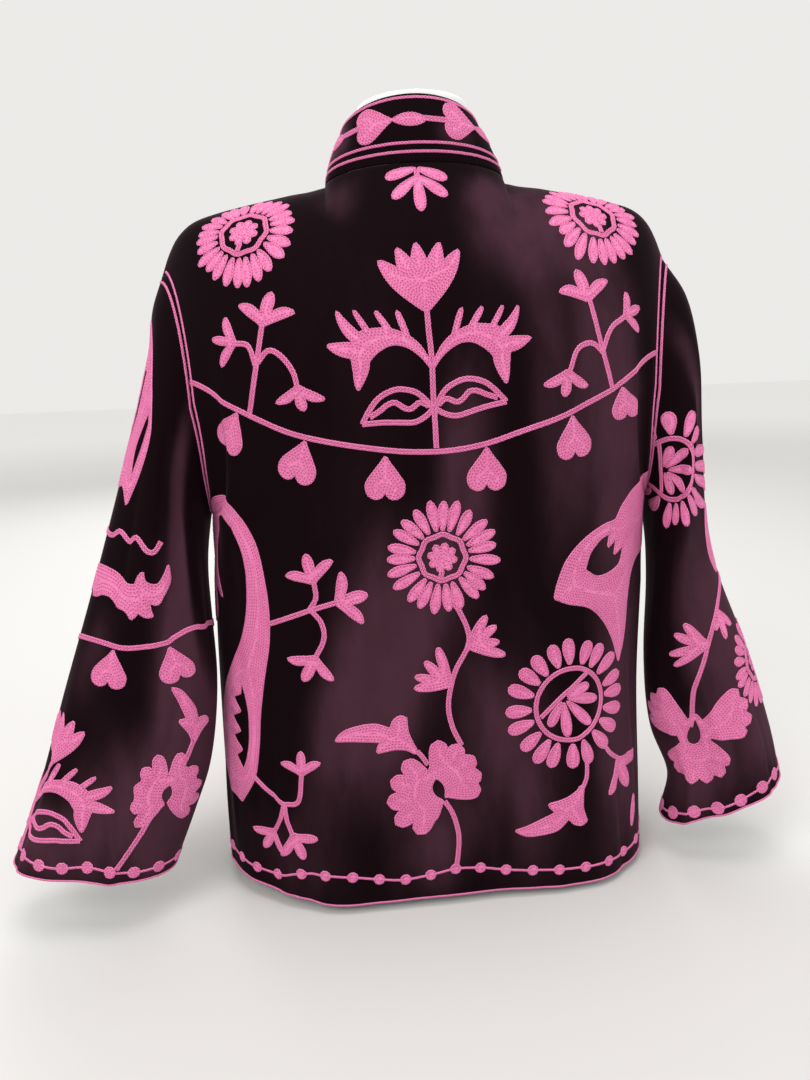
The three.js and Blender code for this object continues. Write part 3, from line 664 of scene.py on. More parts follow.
sleeves = {}
for word, side in (("left", 1), ("right", -1)):
    # Seen from behind, the left sleeve's turns run to the right and the right one's to the left.
    turns = SLEEVE_TURNS if side > 0 else SLEEVE_TURNS[::-1]
    grid = sleeve_point(word, turns[None], SLEEVE_DOWNS[:, None])
    ease = unit(grid[-2] - grid[-1]) * SEAM * 1.5
    grid[-1] += ease + np.array([side * SEAM, 0, 0])
    tube = Cloth(grid, int(np.argmin(np.abs(turns - 0.25))), closed=True)
    piece = cut_cloth("velvet_sleeve_" + word, tube, SLEEVE_SHEEN_PATCHES[word])
    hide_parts("sleeve_" + word)
    # The stitcher's view of the tube: one and a half turns, with its zero at the back.
    wide_turns = np.linspace(-0.5, 1.0, 157) if side > 0 else np.linspace(1.0, -0.5, 157)
    zero = int(np.argmin(np.abs(wide_turns - 0.25)))
    sleeves[word] = Cloth(sleeve_point(word, wide_turns[None], SLEEVE_DOWNS[:, None]), zero)

# ---------------------------------------------------------------- collar
# A stand collar about 6 cm tall, of interfaced velvet, sewn to the neckline. Its ends meet
# at the centre front.
COLLAR_HALF, COLLAR_SHIFT, COLLAR_BACK, COLLAR_FRONT = 63.5, 3.5, 60.0, 58.0
COLLAR_BACK_Z, COLLAR_SIDE_Z, COLLAR_FRONT_Z = 761.0, 744.0, 694.0


def collar_point(turn, up):
    turn, up = np.broadcast_arrays(np.asarray(turn, float), np.asarray(up, float))
    s, c = np.sin(turn * 2 * math.pi), np.cos(turn * 2 * math.pi)
    side = np.where(turn < 0, -1, 1)
    behind = np.abs(turn) <= 0.25
    share = NECK_SHARE * np.where(behind, np.abs(turn), 0.5 - np.abs(turn)) / 0.25
    key = side * np.maximum(share, 1e-9)
    foot = np.where(behind[..., None], top_point("back", key), top_point("front", key))
    head = np.stack([
        COLLAR_SHIFT + s * COLLAR_HALF, c * np.where(behind, COLLAR_BACK, COLLAR_FRONT),
        np.where(behind, lerp(COLLAR_SIDE_Z, COLLAR_BACK_Z, c),
                 lerp(COLLAR_SIDE_Z, COLLAR_FRONT_Z, -c))], -1)
    foot = foot + np.stack([0 * s, 0 * s, SEAM * (1 + 2 * np.abs(s))], -1)
    belly = 2.5 * np.sin(up * math.pi)
    points = lerp(foot, head, up[..., None]) + np.stack([s * belly, c * belly, 0 * belly], -1)
    apart = OPENING[-1, 1] * (1 - np.minimum(share / 0.5, 1)) ** 2
    points[..., 0] += np.where(behind, 0, side * apart)
    return points


COLLAR_TURNS = np.linspace(0.5, -0.5, 161)
collar = Cloth(collar_point(COLLAR_TURNS[None], np.linspace(0, 1, 21)[:, None]), 80)
# Patches of painted sheen on the collar.
COLLAR_SHEEN_PATCHES = [
    (34, 26, 30, 22, 0.0, 0.7), (-84, 34, 26, 26, 0.0, 0.8), (150, 30, 60, 30, 0.0, 0.7),
    (-170, 30, 60, 30, 0.0, 0.7)]
collar_piece = cut_cloth("velvet_collar", collar, COLLAR_SHEEN_PATCHES)
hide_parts("collar")

# ---------------------------------------------------------------- chain stitch
# Pink stranded cotton, worked in chain stitch: each link is a loop that holds the next, and
# rows of links lie side by side, following the outline of each flower or leaf inwards.
STITCH, ROW = 3.1, 2.5         # length of a link, distance between rows
RING = {    # cross-sections of a row: across and up, at a link's joint and at its middle
    0: ((-1.0, -0.55, 0, 0.55, 1.0), (0.05, 0.78, 1.0, 0.78, 0.05)),
    1: ((-1.45, -0.87, 0, 0.87, 1.45), (0.05, 1.15, 0.42, 1.15, 0.05)),
}
OUTER_ROW = 1.15                # from a shape's edge to its first row
UNDERLAY = 1.7                  # mesh of the laid threads that show between the rows
LAID_LOW, LAID_HIGH = 0.45, 0.92
FIELD_STEP = 0.85               # mesh on which the rows of a filled shape are found
SPLINE_STEP, PATH_STEP = 2.0, 0.8
PETAL_POINTS = 13
unevenness = np.random.default_rng(11)


def spline(points, closed=False):
    """A smooth line through points."""
    points = np.asarray(points, float)
    if closed:
        points = np.concatenate([points[-1:], points, points[:2]])
    else:
        before, after = 2 * points[:1] - points[1:2], 2 * points[-1:] - points[-2:-1]
        points = np.concatenate([before, points, after])
    made = []
    for p, q, r, s in zip(points[:-3], points[1:-2], points[2:-1], points[3:]):
        count = max(2, int(np.linalg.norm(r - q) / SPLINE_STEP) + 1)
        t = np.linspace(0, 1, count, endpoint=False)[:, None]
        made.append(0.5 * (2 * q + (r - p) * t + (2 * p - 5 * q + 4 * r - s) * t ** 2
                           + (3 * q - p - 3 * r + s) * t ** 3))
    if not closed:
        made.append(points[-2:-1])
    return np.concatenate(made)


def outline(*stretches):
    """A closed outline of smooth stretches that meet at corners."""
    return np.concatenate([spline(stretch)[:-1] for stretch in stretches])


def turned(shape, degrees, at=(0, 0)):
    """A shape turned clockwise and moved."""
    c, s = math.cos(math.radians(degrees)), math.sin(math.radians(degrees))
    return np.asarray(shape) @ np.array([[c, -s], [s, c]]) + at


def petal(length, width, bend, fullest, blunt, root=0.16):
    """A petal or leaf from the origin upwards, whose middle turns clockwise by bend degrees."""
    t = np.linspace(0, 1, PETAL_POINTS)
    lean = np.radians(bend) * t
    steps = np.stack([np.sin(lean), np.cos(lean)], 1) * length / (PETAL_POINTS - 1)
    middle = np.concatenate([np.zeros((1, 2)), ((steps[1:] + steps[:-1]) / 2).cumsum(0)])
    rise = np.sin(np.clip(t / fullest, 0, 1) * math.pi / 2)
    fall = np.cos(np.clip((t - fullest) / (1 - fullest), 0, 1) * math.pi / 2)
    half = width / 2 * (root + (1 - root) * rise) * np.maximum(fall, 0) ** blunt
    side = np.stack([np.cos(lean), -np.sin(lean)], 1) * half[:, None]
    return np.concatenate([middle - side, (middle + side)[::-1][1:]])


def inside_distance(spots, shape):
    """How far inside a closed outline each spot is; outside is negative."""
    start, end = shape, np.roll(shape, -1, axis=0)
    along = end - start
    length = np.maximum((along ** 2).sum(1), 1e-9)
    best = np.full(len(spots), 1e9)
    odd = np.zeros(len(spots), bool)
    for p, q, d, n in zip(start, end, along, length):
        t = np.clip(((spots - p) @ d) / n, 0, 1)
        gap = spots - p - t[:, None] * d
        best = np.minimum(best, (gap ** 2).sum(1))
        crosses = (p[1] > spots[:, 1]) != (q[1] > spots[:, 1])
        if crosses.any():
            x = p[0] + (spots[:, 1] - p[1]) * d[0] / (d[1] if d[1] else 1e-9)
            odd ^= crosses & (spots[:, 0] < x)
    return np.where(odd, 1, -1) * np.sqrt(best)


EDGES = {   # the sides of a cell that a level line joins, by which corners are above it
    1: [(3, 0)], 2: [(0, 1)], 3: [(3, 1)], 4: [(1, 2)], 5: [(3, 0), (1, 2)], 6: [(0, 2)],
    7: [(3, 2)], 8: [(2, 3)], 9: [(2, 0)], 10: [(0, 1), (2, 3)], 11: [(2, 1)], 12: [(1, 3)],
    13: [(1, 0)], 14: [(0, 3)]}


def level_lines(heights, level, corner, step):
    """The lines along which a grid of heights has a level, as (points, closed)."""
    over = heights > level
    kind = (over[:-1, :-1] * 1 + over[:-1, 1:] * 2 + over[1:, 1:] * 4 + over[1:, :-1] * 8)
    joins, spots = {}, {}

    def crossing(edge):
        if edge not in spots:
            way, i, j = edge
            m, n = (i, j + 1) if way == 0 else (i + 1, j)
            t = (level - heights[i, j]) / (heights[m, n] - heights[i, j])
            spots[edge] = (corner[0] + step * lerp(j, n, t), corner[1] + step * lerp(i, m, t))
        return edge

    for i, j in zip(*np.nonzero((kind > 0) & (kind < 15))):
        sides = ((0, i, j), (1, i, j + 1), (0, i + 1, j), (1, i, j))
        for a, b in EDGES[int(kind[i, j])]:
            p, q = crossing(sides[a]), crossing(sides[b])
            joins.setdefault(p, []).append(q)
            joins.setdefault(q, []).append(p)
    lines = []
    while joins:
        start = next((e for e, near in joins.items() if len(near) == 1), next(iter(joins)))
        chain, here = [start], start
        while joins.get(here):
            after = joins[here].pop(0)
            joins[after].remove(here)
            if not joins[here]:
                del joins[here]
            chain.append(after)
            here = after
        joins.pop(here, None)
        closed = chain[0] == chain[-1]
        lines.append((np.array([spots[e] for e in (chain[:-1] if closed else chain)]), closed))
    return lines


class Needlework:
    """Chain stitch on one cloth, gathered into one piece of thread."""

    def __init__(self, name, cloth):
        self.name, self.cloth = name, cloth
        self.points, self.faces, self.strands = [], [], []
        self.count = 0
        self.origin, self.matrix = np.zeros(2), np.eye(2)

    def hoop(self, a, b, turn=0.0, flip=False):
        """Sets the hoop: a motif's own x runs right and its y up, turned clockwise."""
        spots = np.array([(a, b), (a + 1, b), (a - 1, b), (a, b + 1), (a, b - 1)], float)
        on, _ = self.cloth.place(spots, np.zeros(5))
        off, _ = self.cloth.place(spots, np.ones(5))
        normal = unit(off[0] - on[0])
        up = unit(np.array([0, 0, 1.0]) - normal * normal[2])
        right = np.cross(up, normal)
        over_a, over_b = (on[1] - on[2]) / 2, (on[3] - on[4]) / 2
        measure = np.array([[over_a @ right, over_b @ right], [over_a @ up, over_b @ up]])
        c, s = math.cos(math.radians(turn)), math.sin(math.radians(turn))
        spin = np.array([[c, s], [-s, c]]) @ np.diag([-1 if flip else 1, 1])
        self.origin, self.matrix = np.array([a, b], float), np.linalg.inv(measure) @ spin
        return self

    def bare(self):
        """Takes the hoop off: places are then the cloth's own flat ones."""
        self.origin, self.matrix = np.zeros(2), np.eye(2)
        return self

    def row(self, path, closed=False, aside=0.0, full=1.0):
        """One row of chain stitch along a path of the hoop."""
        path = np.asarray(path, float)
        if closed:
            path = np.concatenate([path, path[:1]])
        flat = self.origin + path @ self.matrix.T
        steps = np.linalg.norm(np.diff(flat, axis=0), axis=1)
        keep = np.concatenate([[True], steps > 1e-6])
        flat = flat[keep]
        at = np.concatenate([[0], np.linalg.norm(np.diff(flat, axis=0), axis=1).cumsum()])
        if at[-1] < 2.0:
            return
        fine = np.linspace(0, at[-1], max(4, int(at[-1] / PATH_STEP)))
        flat = np.stack([np.interp(fine, at, flat[:, k]) for k in (0, 1)], 1)
        on, _ = self.cloth.place(flat, np.zeros(len(flat)))
        at = np.concatenate([[0], np.linalg.norm(np.diff(on, axis=0), axis=1).cumsum()])
        count = max(2, 2 * round(at[-1] / STITCH))
        fine = np.linspace(0, at[-1], count + 1)
        flat = np.stack([np.interp(fine, at, flat[:, k]) for k in (0, 1)], 1)
        on, held = self.cloth.place(flat, np.zeros(len(flat)))
        off, _ = self.cloth.place(flat, np.ones(len(flat)))
        normal = unit(off - on)
        if closed:
            along = np.roll(on[:-1], -1, axis=0) - np.roll(on[:-1], 1, axis=0)
            along = np.concatenate([along, along[:1]])
        else:
            along = np.gradient(on, axis=0)
        side = unit(np.cross(along, normal))
        rings = count + 1
        middle = (np.arange(rings) % 2)[:, None]
        across = np.where(middle, RING[1][0], RING[0][0]) * full
        lift = np.where(middle, RING[1][1], RING[0][1])
        sway = unevenness.normal(0, 0.07, (rings, 1))
        across = across + aside + sway
        lift = lift * (1 + unevenness.normal(0, 0.06, (rings, 1)))
        if closed:
            across[-1], lift[-1] = across[0], lift[0]
        made = (on[:, None] + side[:, None] * across[..., None] + normal[:, None] * lift[..., None])
        keep = held[:-1] & held[1:]
        first = self.count + np.nonzero(keep)[0][:, None] * 5 + np.arange(4)[None]
        quads = np.stack([first, first + 1, first + 6, first + 5], -1).reshape(-1, 4)
        self.points.append(made.reshape(-1, 3))
        self.faces.append(quads)
        along_uv = np.repeat(np.arange(rings)[:, None] / 2, 5, 1)
        across_uv = np.repeat(np.linspace(0, 1, 5)[None], rings, 0)
        self.strands.append(np.stack([along_uv, across_uv], -1).reshape(-1, 2))
        self.count += rings * 5

    def line(self, points, rows=2, closed=False, smoothly=True):
        """Stems and rings: one, two or three rows side by side."""
        path = spline(points, closed) if smoothly else np.asarray(points, float)
        for k in range(rows):
            self.row(path, closed, aside=(k - (rows - 1) / 2) * ROW)

    def fill(self, shapes, holes=()):
        """Rows that follow the outline of all the shapes together, from the edge inwards."""
        step = FIELD_STEP
        every = np.concatenate(shapes)
        low, high = every.min(0) - 2 * step, every.max(0) + 2 * step
        x, y = (np.arange(a, b + step, step) for a, b in zip(low, high))
        spots = np.stack(np.meshgrid(x, y), -1).reshape(-1, 2)
        depth = np.maximum.reduce([inside_distance(spots, shape) for shape in shapes])
        for hole in holes:
            depth = np.minimum(depth, -inside_distance(spots, hole))
        grid = depth.reshape(len(y), len(x))
        if len(shapes) > 1 or holes:    # measured again from the joined outline
            edge = [line for line, closed in level_lines(grid, 0, low, step) if len(line) > 3]
            best = np.full(len(spots), 1e9)
            for line in edge:
                for p, q in zip(line, np.roll(line, -1, axis=0)):
                    d = q - p
                    t = np.clip(((spots - p) @ d) / max(d @ d, 1e-9), 0, 1)
                    best = np.minimum(best, ((spots - p - t[:, None] * d) ** 2).sum(1))
            grid = (np.sign(depth) * np.sqrt(best)).reshape(len(y), len(x))
        span = grid.max() - OUTER_ROW - 0.75
        rows = 1 + max(0, math.ceil(span / ROW - 0.45))
        inmost = OUTER_ROW + max(span, 0)
        for level in np.linspace(OUTER_ROW, inmost, rows) if rows > 1 else (OUTER_ROW,):
            for line, closed in level_lines(grid, level, low, step):
                if len(line) > 5:
                    self.row(line, closed)
        self.lay(grid, low, step)

    def lay(self, grid, low, step):
        """Laid threads under the rows, higher along the middle, where no row fits."""
        skip = max(1, round(UNDERLAY / step))
        climb, slope = np.gradient(grid, step)
        ridge = np.hypot(climb, slope) < 0.75
        ridge |= np.roll(ridge, 1, 0) | np.roll(ridge, 1, 1)
        height = np.where(ridge & (grid > 1.6), LAID_HIGH, LAID_LOW)[::skip, ::skip].ravel()
        inner = grid[::skip, ::skip] > 0.7
        whole = inner[:-1, :-1] & inner[1:, :-1] & inner[:-1, 1:] & inner[1:, 1:]
        rows, columns = inner.shape
        j, i = np.meshgrid(np.arange(columns), np.arange(rows))
        spots = np.stack([low[0] + j * step * skip, low[1] + i * step * skip], -1).reshape(-1, 2)
        flat = self.origin + spots @ self.matrix.T
        made, held = self.cloth.place(flat, height)
        held = held.reshape(rows, columns)
        whole &= held[:-1, :-1] & held[1:, :-1] & held[:-1, 1:] & held[1:, 1:]
        used = np.zeros((rows, columns), bool)
        for a, b in ((0, 0), (1, 0), (0, 1), (1, 1)):
            used[a:rows - 1 + a, b:columns - 1 + b] |= whole
        ids = np.full(used.shape, -1)
        ids[used] = np.arange(used.sum()) + self.count
        quads = np.stack([ids[:-1, :-1], ids[:-1, 1:], ids[1:, 1:], ids[1:, :-1]], -1)[whole]
        if np.linalg.det(self.matrix) < 0:
            quads = quads[:, ::-1]
        if len(quads):
            self.points.append(made[used.ravel()])
            self.faces.append(quads)
            laid = np.stack([(spots[:, 0] + spots[:, 1]) / STITCH, np.full(len(spots), 0.26)], 1)
            self.strands.append(laid[used.ravel()])
            self.count += int(used.sum())

    def sew(self):
        """Makes the piece."""
        points, faces = np.concatenate(self.points) / 1000, np.concatenate(self.faces)
        mesh = bpy.data.meshes.new(self.name)
        mesh.vertices.add(len(points))
        mesh.vertices.foreach_set("co", points.astype(np.float32).ravel())
        mesh.loops.add(faces.size)
        mesh.loops.foreach_set("vertex_index", faces.astype(np.int32).ravel())
        mesh.polygons.add(len(faces))
        mesh.polygons.foreach_set("loop_start", np.arange(0, faces.size, 4, dtype=np.int32))
        mesh.update(calc_edges=True)
        strand = mesh.uv_layers.new(name="strand")
        ways = np.concatenate(self.strands)[faces.ravel()]
        strand.data.foreach_set("uv", ways.astype(np.float32).ravel())
        mesh.validate()
        piece = bpy.data.objects.new(self.name, mesh)
        bpy.context.scene.collection.objects.link(piece)
        mesh.materials.append(pink_thread)
        mesh.shade_smooth()
        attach(piece, "root")
        return piece


# The thread's pink; a deep pink that is painted shade for the hollows of the links and the edges of the
# rows; and a paler pink that is partly random tone and partly painted highlight on the ply.
THREAD = (0.63, 0.103, 0.292, 1)
THREAD_PAINTED_SHADE = (0.30, 0.016, 0.095, 1)
THREAD_PALE_AND_HIGHLIGHT = (0.83, 0.265, 0.50, 1)


def make_thread():
    made, strand, shader = start_material("pink_thread")
    spot = strand.take(strand.node("ShaderNodeTexCoord"), "Object")
    way = strand.node("ShaderNodeUVMap", {"uv_map": "strand"})
    parts = strand.node("ShaderNodeSeparateXYZ", Vector=strand.take(way))
    along, across = strand.take(parts, 0), strand.take(parts, 1)
    middle = strand.maths("ABSOLUTE", across - 0.5) * 2.0           # 0 in the middle, 1 at the feet
    link = strand.maths("COSINE", along * (2 * math.pi))            # 1 at a joint, -1 in a link
    # Painted shade: the colour turns deep pink in the hollow at the middle of each link and along the feet
    # of each row, where the thread meets the cloth and its neighbours.
    pit_shade = (1.0 - middle.between(0.08, 0.44)) * (0.0 - link).between(-0.2, 0.7)
    foot = middle.between(0.76, 1.0)
    ply = strand.maths("SINE", (along * 4.0 + across * 5.0) * (2 * math.pi)) * 0.5 + 0.5
    cloud = grain(strand, spot, 55.0, 2.0)
    fibre = grain(strand, spot, 520.0, 2.0, 0.6)
    shade = strand.maths("MAXIMUM", pit_shade, foot * 0.7)
    # The paler pink is partly random tone of the thread and partly a painted highlight on the ridges of the
    # ply.
    tone_and_highlight = ply * 0.26 + cloud * 0.38 + fibre.between(0.35, 0.7) * 0.34
    colour = tone_and_highlight.colours(THREAD, THREAD_PALE_AND_HIGHLIGHT)
    colour = shade.colours(colour, THREAD_PAINTED_SHADE)
    strand.feed(shader.inputs["Base Color"], colour)
    strand.feed(shader.inputs["Roughness"], 0.50 + ply * 0.12)
    twist = strand.node("ShaderNodeBump", Strength=0.4, Distance=0.0003, Height=ply - pit_shade)
    strand.feed(shader.inputs["Normal"], strand.take(twist))
    shader.inputs["Sheen Weight"].default_value = 0.12
    shader.inputs["Sheen Roughness"].default_value = 0.4
    shader.inputs["Sheen Tint"].default_value = (1.0, 0.72, 0.86, 1)
    shader.inputs["Specular IOR Level"].default_value = 0.3
    return made


pink_thread = make_thread()

# ---------------------------------------------------------------- flowers and leaves
# The stitcher's stock of motifs, each drawn from where its stem comes in, in millimetres.


def heart(work, a, b, turn, size=1.0):
    """Hangs from its point."""
    half = [(0, 0), (5, -8), (12, -17), (18, -27), (16.5, -37), (9.5, -41.5), (3, -40), (0, -35.5)]
    shape = outline(half, [(-x, y) for x, y in half[::-1]])
    work.hoop(a, b, turn).fill([shape * size])


def lily(work, a, b, turn, size=1.0, flip=False, wide=1.0):
    """Three petals at the end of a stem, the outer two curling away."""
    shapes = [
        petal(32, 12.5 * wide, 8, 0.62, 0.55, 0.3), turned(petal(34, 11, 50, 0.55, 0.7, 0.4), 34),
        turned(petal(33, 11, -48, 0.55, 0.7, 0.4), -38)]
    work.hoop(a, b, turn, flip).fill([shape * size for shape in shapes])


def spray(work, a, b, turn, lobes, size=1.0, flip=False):
    """A hand of narrow petals."""
    shapes = [turned(petal(length, 9.8, 10 if angle > 0 else -8, 0.62, 0.5), angle)
              for angle, length in lobes]
    work.hoop(a, b, turn, flip).fill([shape * size for shape in shapes])


def tulip(work, a, b, turn=0.0, size=1.0):
    """Five pointed petals side by side in a cup."""
    lobes = ((-40, 63), (-21.5, 62.5), (-5, 62), (12, 63), (29, 63))
    shapes = [turned(petal(length, 16.5, 3 * np.sign(angle), 0.56, 0.8, 0.3), angle)
              for angle, length in lobes]
    shapes.append(outline(
        [(0, -2), (14, 14), (25, 31), (27, 42)], [(27, 42), (8, 35), (-12, 34), (-31, 36)],
        [(-31, 36), (-28, 28), (-16, 14), (0, -2)]))
    work.hoop(a, b, turn).fill([shape * size for shape in shapes])


def rosette(work, a, b, turn, size=1.0, petals=24, ring=21.0, reach=49.0, width=9.8, blunt=0.62,
            corners=8, inside="blossom", flip=False):
    """Petals round a ring of two rows, with a small motif inside."""
    def ray(angle, length):
        return length * np.array([math.sin(math.radians(angle)), math.cos(math.radians(angle))])

    work.hoop(a, b, turn, flip)
    angles = np.linspace(0, 2 * math.pi, 96, endpoint=False)
    radius = size * ring * (1 + (0.035 * np.cos(corners * angles) if corners else 0))
    work.line(np.stack([radius * np.sin(angles), radius * np.cos(angles)], 1), 2, closed=True)
    for k in range(petals):
        angle = 360 / petals * k + unevenness.normal(0, 1.2)
        length = size * (reach - ring - 3.5) * (1 + unevenness.normal(0, 0.05))
        shape = petal(length, width * size, unevenness.normal(0, 5), 0.62, blunt, 0.3)
        work.fill([turned(shape, angle, ray(angle, (ring + 3.2) * size))])
    if inside == "blossom":
        lobes = [turned(petal(14.5, 7.6, 0, 0.72, 0.45), 45 * k + 10) for k in range(8)]
        disc = np.stack([4.2 * np.sin(angles), 4.2 * np.cos(angles)], 1)
        work.fill([shape * size for shape in lobes + [disc]])
        work.line(np.array([(0, -12), (-0.5, -16), (-1, -19)]) * size, 2)
    if inside == "fan":
        scale = size * ring / 31
        work.line(np.array([(-27, -8), (-5, 10), (17, 25)]) * scale, 2)
        lobes = [(73, 27), (101, 35), (137, 39), (175, 36), (209, 28)]
        for angle, length in lobes:
            foot = np.array([-6.5, 6.5]) + ray(angle, 2.5)
            work.fill([turned(petal(length - 3, 9.6, 0, 0.66, 0.42, 0.16), angle, foot) * scale])


def eyelash_leaf(work, a, b, turn, size=1.0, flip=False):
    """A leaf that arches out from the stem, with three narrow teeth on top and claws at the end."""
    arch = outline(
        [(0, 2), (9, 17), (21, 27), (37, 33), (52, 32), (63, 26), (70, 12)],
        [(70, 12), (69, -4), (66, -20)],
        [(66, -20), (60, -8), (52, 5), (43, 13), (32, 17), (20, 14), (8, 4), (0, -8)],
        [(0, -8), (-1, -3), (0, 2)])
    claws = [turned(petal(38, 12, -54, 0.4, 0.85), 80, (53, 20)),
             turned(petal(40, 13, -32, 0.38, 0.85), 111, (54, 16)),
             turned(petal(38, 14, 14, 0.4, 0.85), 156, (55, 15))]
    teeth = [turned(petal(27, 5.8, 0, 0.5, 0.35, 0.8), angle, (x, y))
             for angle, x, y in ((17, 18, 22), (31, 31, 26), (36, 49, 25))]
    work.hoop(a, b, turn, flip).fill([shape * size for shape in [arch] + claws + teeth])


def almond_leaf(work, a, b, turn, flip=False):
    """An open leaf drawn in line, with a wavy vein."""
    work.hoop(a, b, turn, flip)
    work.line([(0, 0), (9, 14), (19, 20.5), (30, 23), (44, 19.5), (55, 11), (64, 1)])
    work.line([(0, -1), (8, -6), (19, -8.5), (32, -5.5), (46, -2), (64, 1)])
    work.line([(3, 2), (10, 7), (19, 3.5), (25, 6), (31, 12), (38, 12), (46, 8.5), (56, 5)])


def palmette(work, a, b, turn, size=1.0, flip=False, wide=19.5,
             left=((-27, 50), (-54, 51), (-80, 53), (-106, 54), (-134, 49)),
             right=((17, 55), (39, 54), (61, 50), (84, 45), (108, 41))):
    """Two fans of rounded lobes, to the left and the right of an almond-shaped opening."""
    shapes = [turned(petal(length, wide, 0, 0.72, 0.34, 0.35), angle, (0, -3))
              for angle, length in left + right]
    shapes.append(outline(
        [(2, -12), (-14, -30), (-32, -20), (-37, 2), (-28, 20), (-12, 28)],
        [(-12, 28), (-5, 22), (0, 28)], [(0, 28), (14, 38), (30, 28), (38, 8), (33, -8)],
        [(33, -8), (16, -9), (2, -12)]))
    hole = outline([(1, 12), (-5, 5), (-5, -4), (1, -12)], [(1, -12), (5, -3), (5, 5), (1, 12)])
    work.hoop(a, b, turn, flip).fill([shape * size for shape in shapes], [hole * size])


def barbed_leaf(work, a, b, turn, size=1.0, flip=False):
    """A cup at the end of a stem, with a barb on each side of a long leaf that sweeps left."""
    shape = outline(
        [(-2.5, -3), (-5, 4), (-13.6, 12), (-31, 20)], [(-31, 20), (-28, 24), (-22, 28)],
        [(-22, 28), (-33, 37), (-45, 46), (-58, 54)],
        [(-58, 54), (-44, 57.5), (-29, 54), (-14, 46), (-5, 34)],
        [(-5, 34), (2, 38.5), (10, 38), (14.5, 32)],
        [(14.5, 32), (10, 25), (6, 16), (2.5, -3)], [(2.5, -3), (-2.5, -3)])
    work.hoop(a, b, turn, flip).fill([shape * size])


def three_fans(work, a, b, turn, size, flip):
    """Three fans round an almond-shaped opening: two raised like wings and one hanging."""
    lobes = ((-45, 66), (-57, 67), (-70, 62), (-84, 52), (42, 62), (54, 63), (67, 59), (80, 50),
             (129, 43), (144, 51), (160, 56), (176, 57), (192, 52), (207, 43))
    shapes = [turned(petal(length, 15, 0, 0.76, 0.34, 0.4), angle) for angle, length in lobes]
    shapes.append(outline([(0, 22), (-12, 9), (-15, -6), (0, -20), (15, -6), (12, 9), (0, 22)]))
    hole = outline([(0, 15), (-5, 4), (-6, -5), (-3, -11), (3, -11), (6, -5), (5, 4), (0, 15)])
    work.hoop(a, b, turn, flip).fill([shape * size for shape in shapes], [hole * size])


def bead(work, a, b, size):
    """A small round of stitches."""
    angles = np.linspace(0, 2 * math.pi, 24, endpoint=False)
    disc = 5.6 * size * np.stack([np.sin(angles), np.cos(angles)], 1)
    work.hoop(a, b).fill([disc])


# ---------------------------------------------------------------- embroidery of the back
# Worked on the cloth before it was sewn up: a spray under the collar, a rosette on each
# shoulder, a tulip over two arching leaves, and a garland of hearts from sleeve to sleeve.
SIDE_STEP = 4.0     # from a seam to the chain line beside it


def run_along(cloth, column, low, high, inset):
    """A flat path beside an edge of a cloth, between two heights."""
    rows = np.nonzero((cloth.b > low) & (cloth.b < high))[0][::2]
    return np.stack([cloth.a[rows, column] + inset, cloth.b[rows]], 1)


def under_collar_spray(work, a, b):
    lobes = [(-106, 30, 0), (-134, 32, -8), (176, 37, -7), (128, 34, -8), (112, 30, 0)]
    work.hoop(a, b).fill([turned(petal(length, 10.8, 0, 0.66, 0.42, 0.3), angle, (0, y))
                          for angle, length, y in lobes])
    work.line([(0, -1), (0.5, -14)])


back_upper = Needlework("thread_back_upper", back)
under_collar_spray(back_upper, -4, 695.5)
rosette(back_upper, -181, 618, 4, 1.04, petals=25)
rosette(back_upper, 181, 626, -6, 1.04, petals=24)
tulip(back_upper, -4.5, 564)
eyelash_leaf(back_upper, -1, 520, 2)
eyelash_leaf(back_upper, -3, 520, -3, flip=True)
almond_leaf(back_upper, -1, 481, -1)
almond_leaf(back_upper, -3, 481, -12, flip=True)
for a, b, turn in (
        (-180, 484, 32), (-118, 458, 20), (-48, 442, 3), (43, 446, 1), (125, 470, -6), (183, 492, -10)):
    heart(back_upper, a, b, turn)
lily(back_upper, -154, 538, 12)
lily(back_upper, -180, 529, -82, 0.85, wide=0.8)
lily(back_upper, -121, 500, 176, 0.85, flip=True)
lily(back_upper, 152, 546, -12, flip=True)
lily(back_upper, 190, 538, 70, 0.75, flip=True)
lily(back_upper, 122, 503, 184, 0.85)
back_upper.bare()
back_upper.line([(-4.5, 567), (-3.6, 545), (-2.2, 523), (-2, 480), (-2.3, 445)])
back_upper.line([
    (-243, 512), (-181, 485), (-126, 461), (-53, 446), (-2, 442), (38, 446), (75, 456), (113, 467),
    (145, 479), (190, 497), (241, 520)])
back_upper.line([(-169, 479), (-159, 514), (-154, 540)])
back_upper.line([(-159, 512), (-167, 526), (-182, 529)])
back_upper.line([(-158, 515), (-148, 522), (-136, 518), (-125, 508), (-121, 497)])
back_upper.line([(170, 491), (160, 518), (153, 548)])
back_upper.line([(161, 514), (172, 528), (191, 538)])
back_upper.line([(163, 512), (150, 519), (134, 515), (124, 502)])
for column, inset in ((0, SIDE_STEP), (-1, -SIDE_STEP)):
    back_upper.line(run_along(back, column, 375, 690, inset), rows=1, smoothly=False)
back_upper.sew()

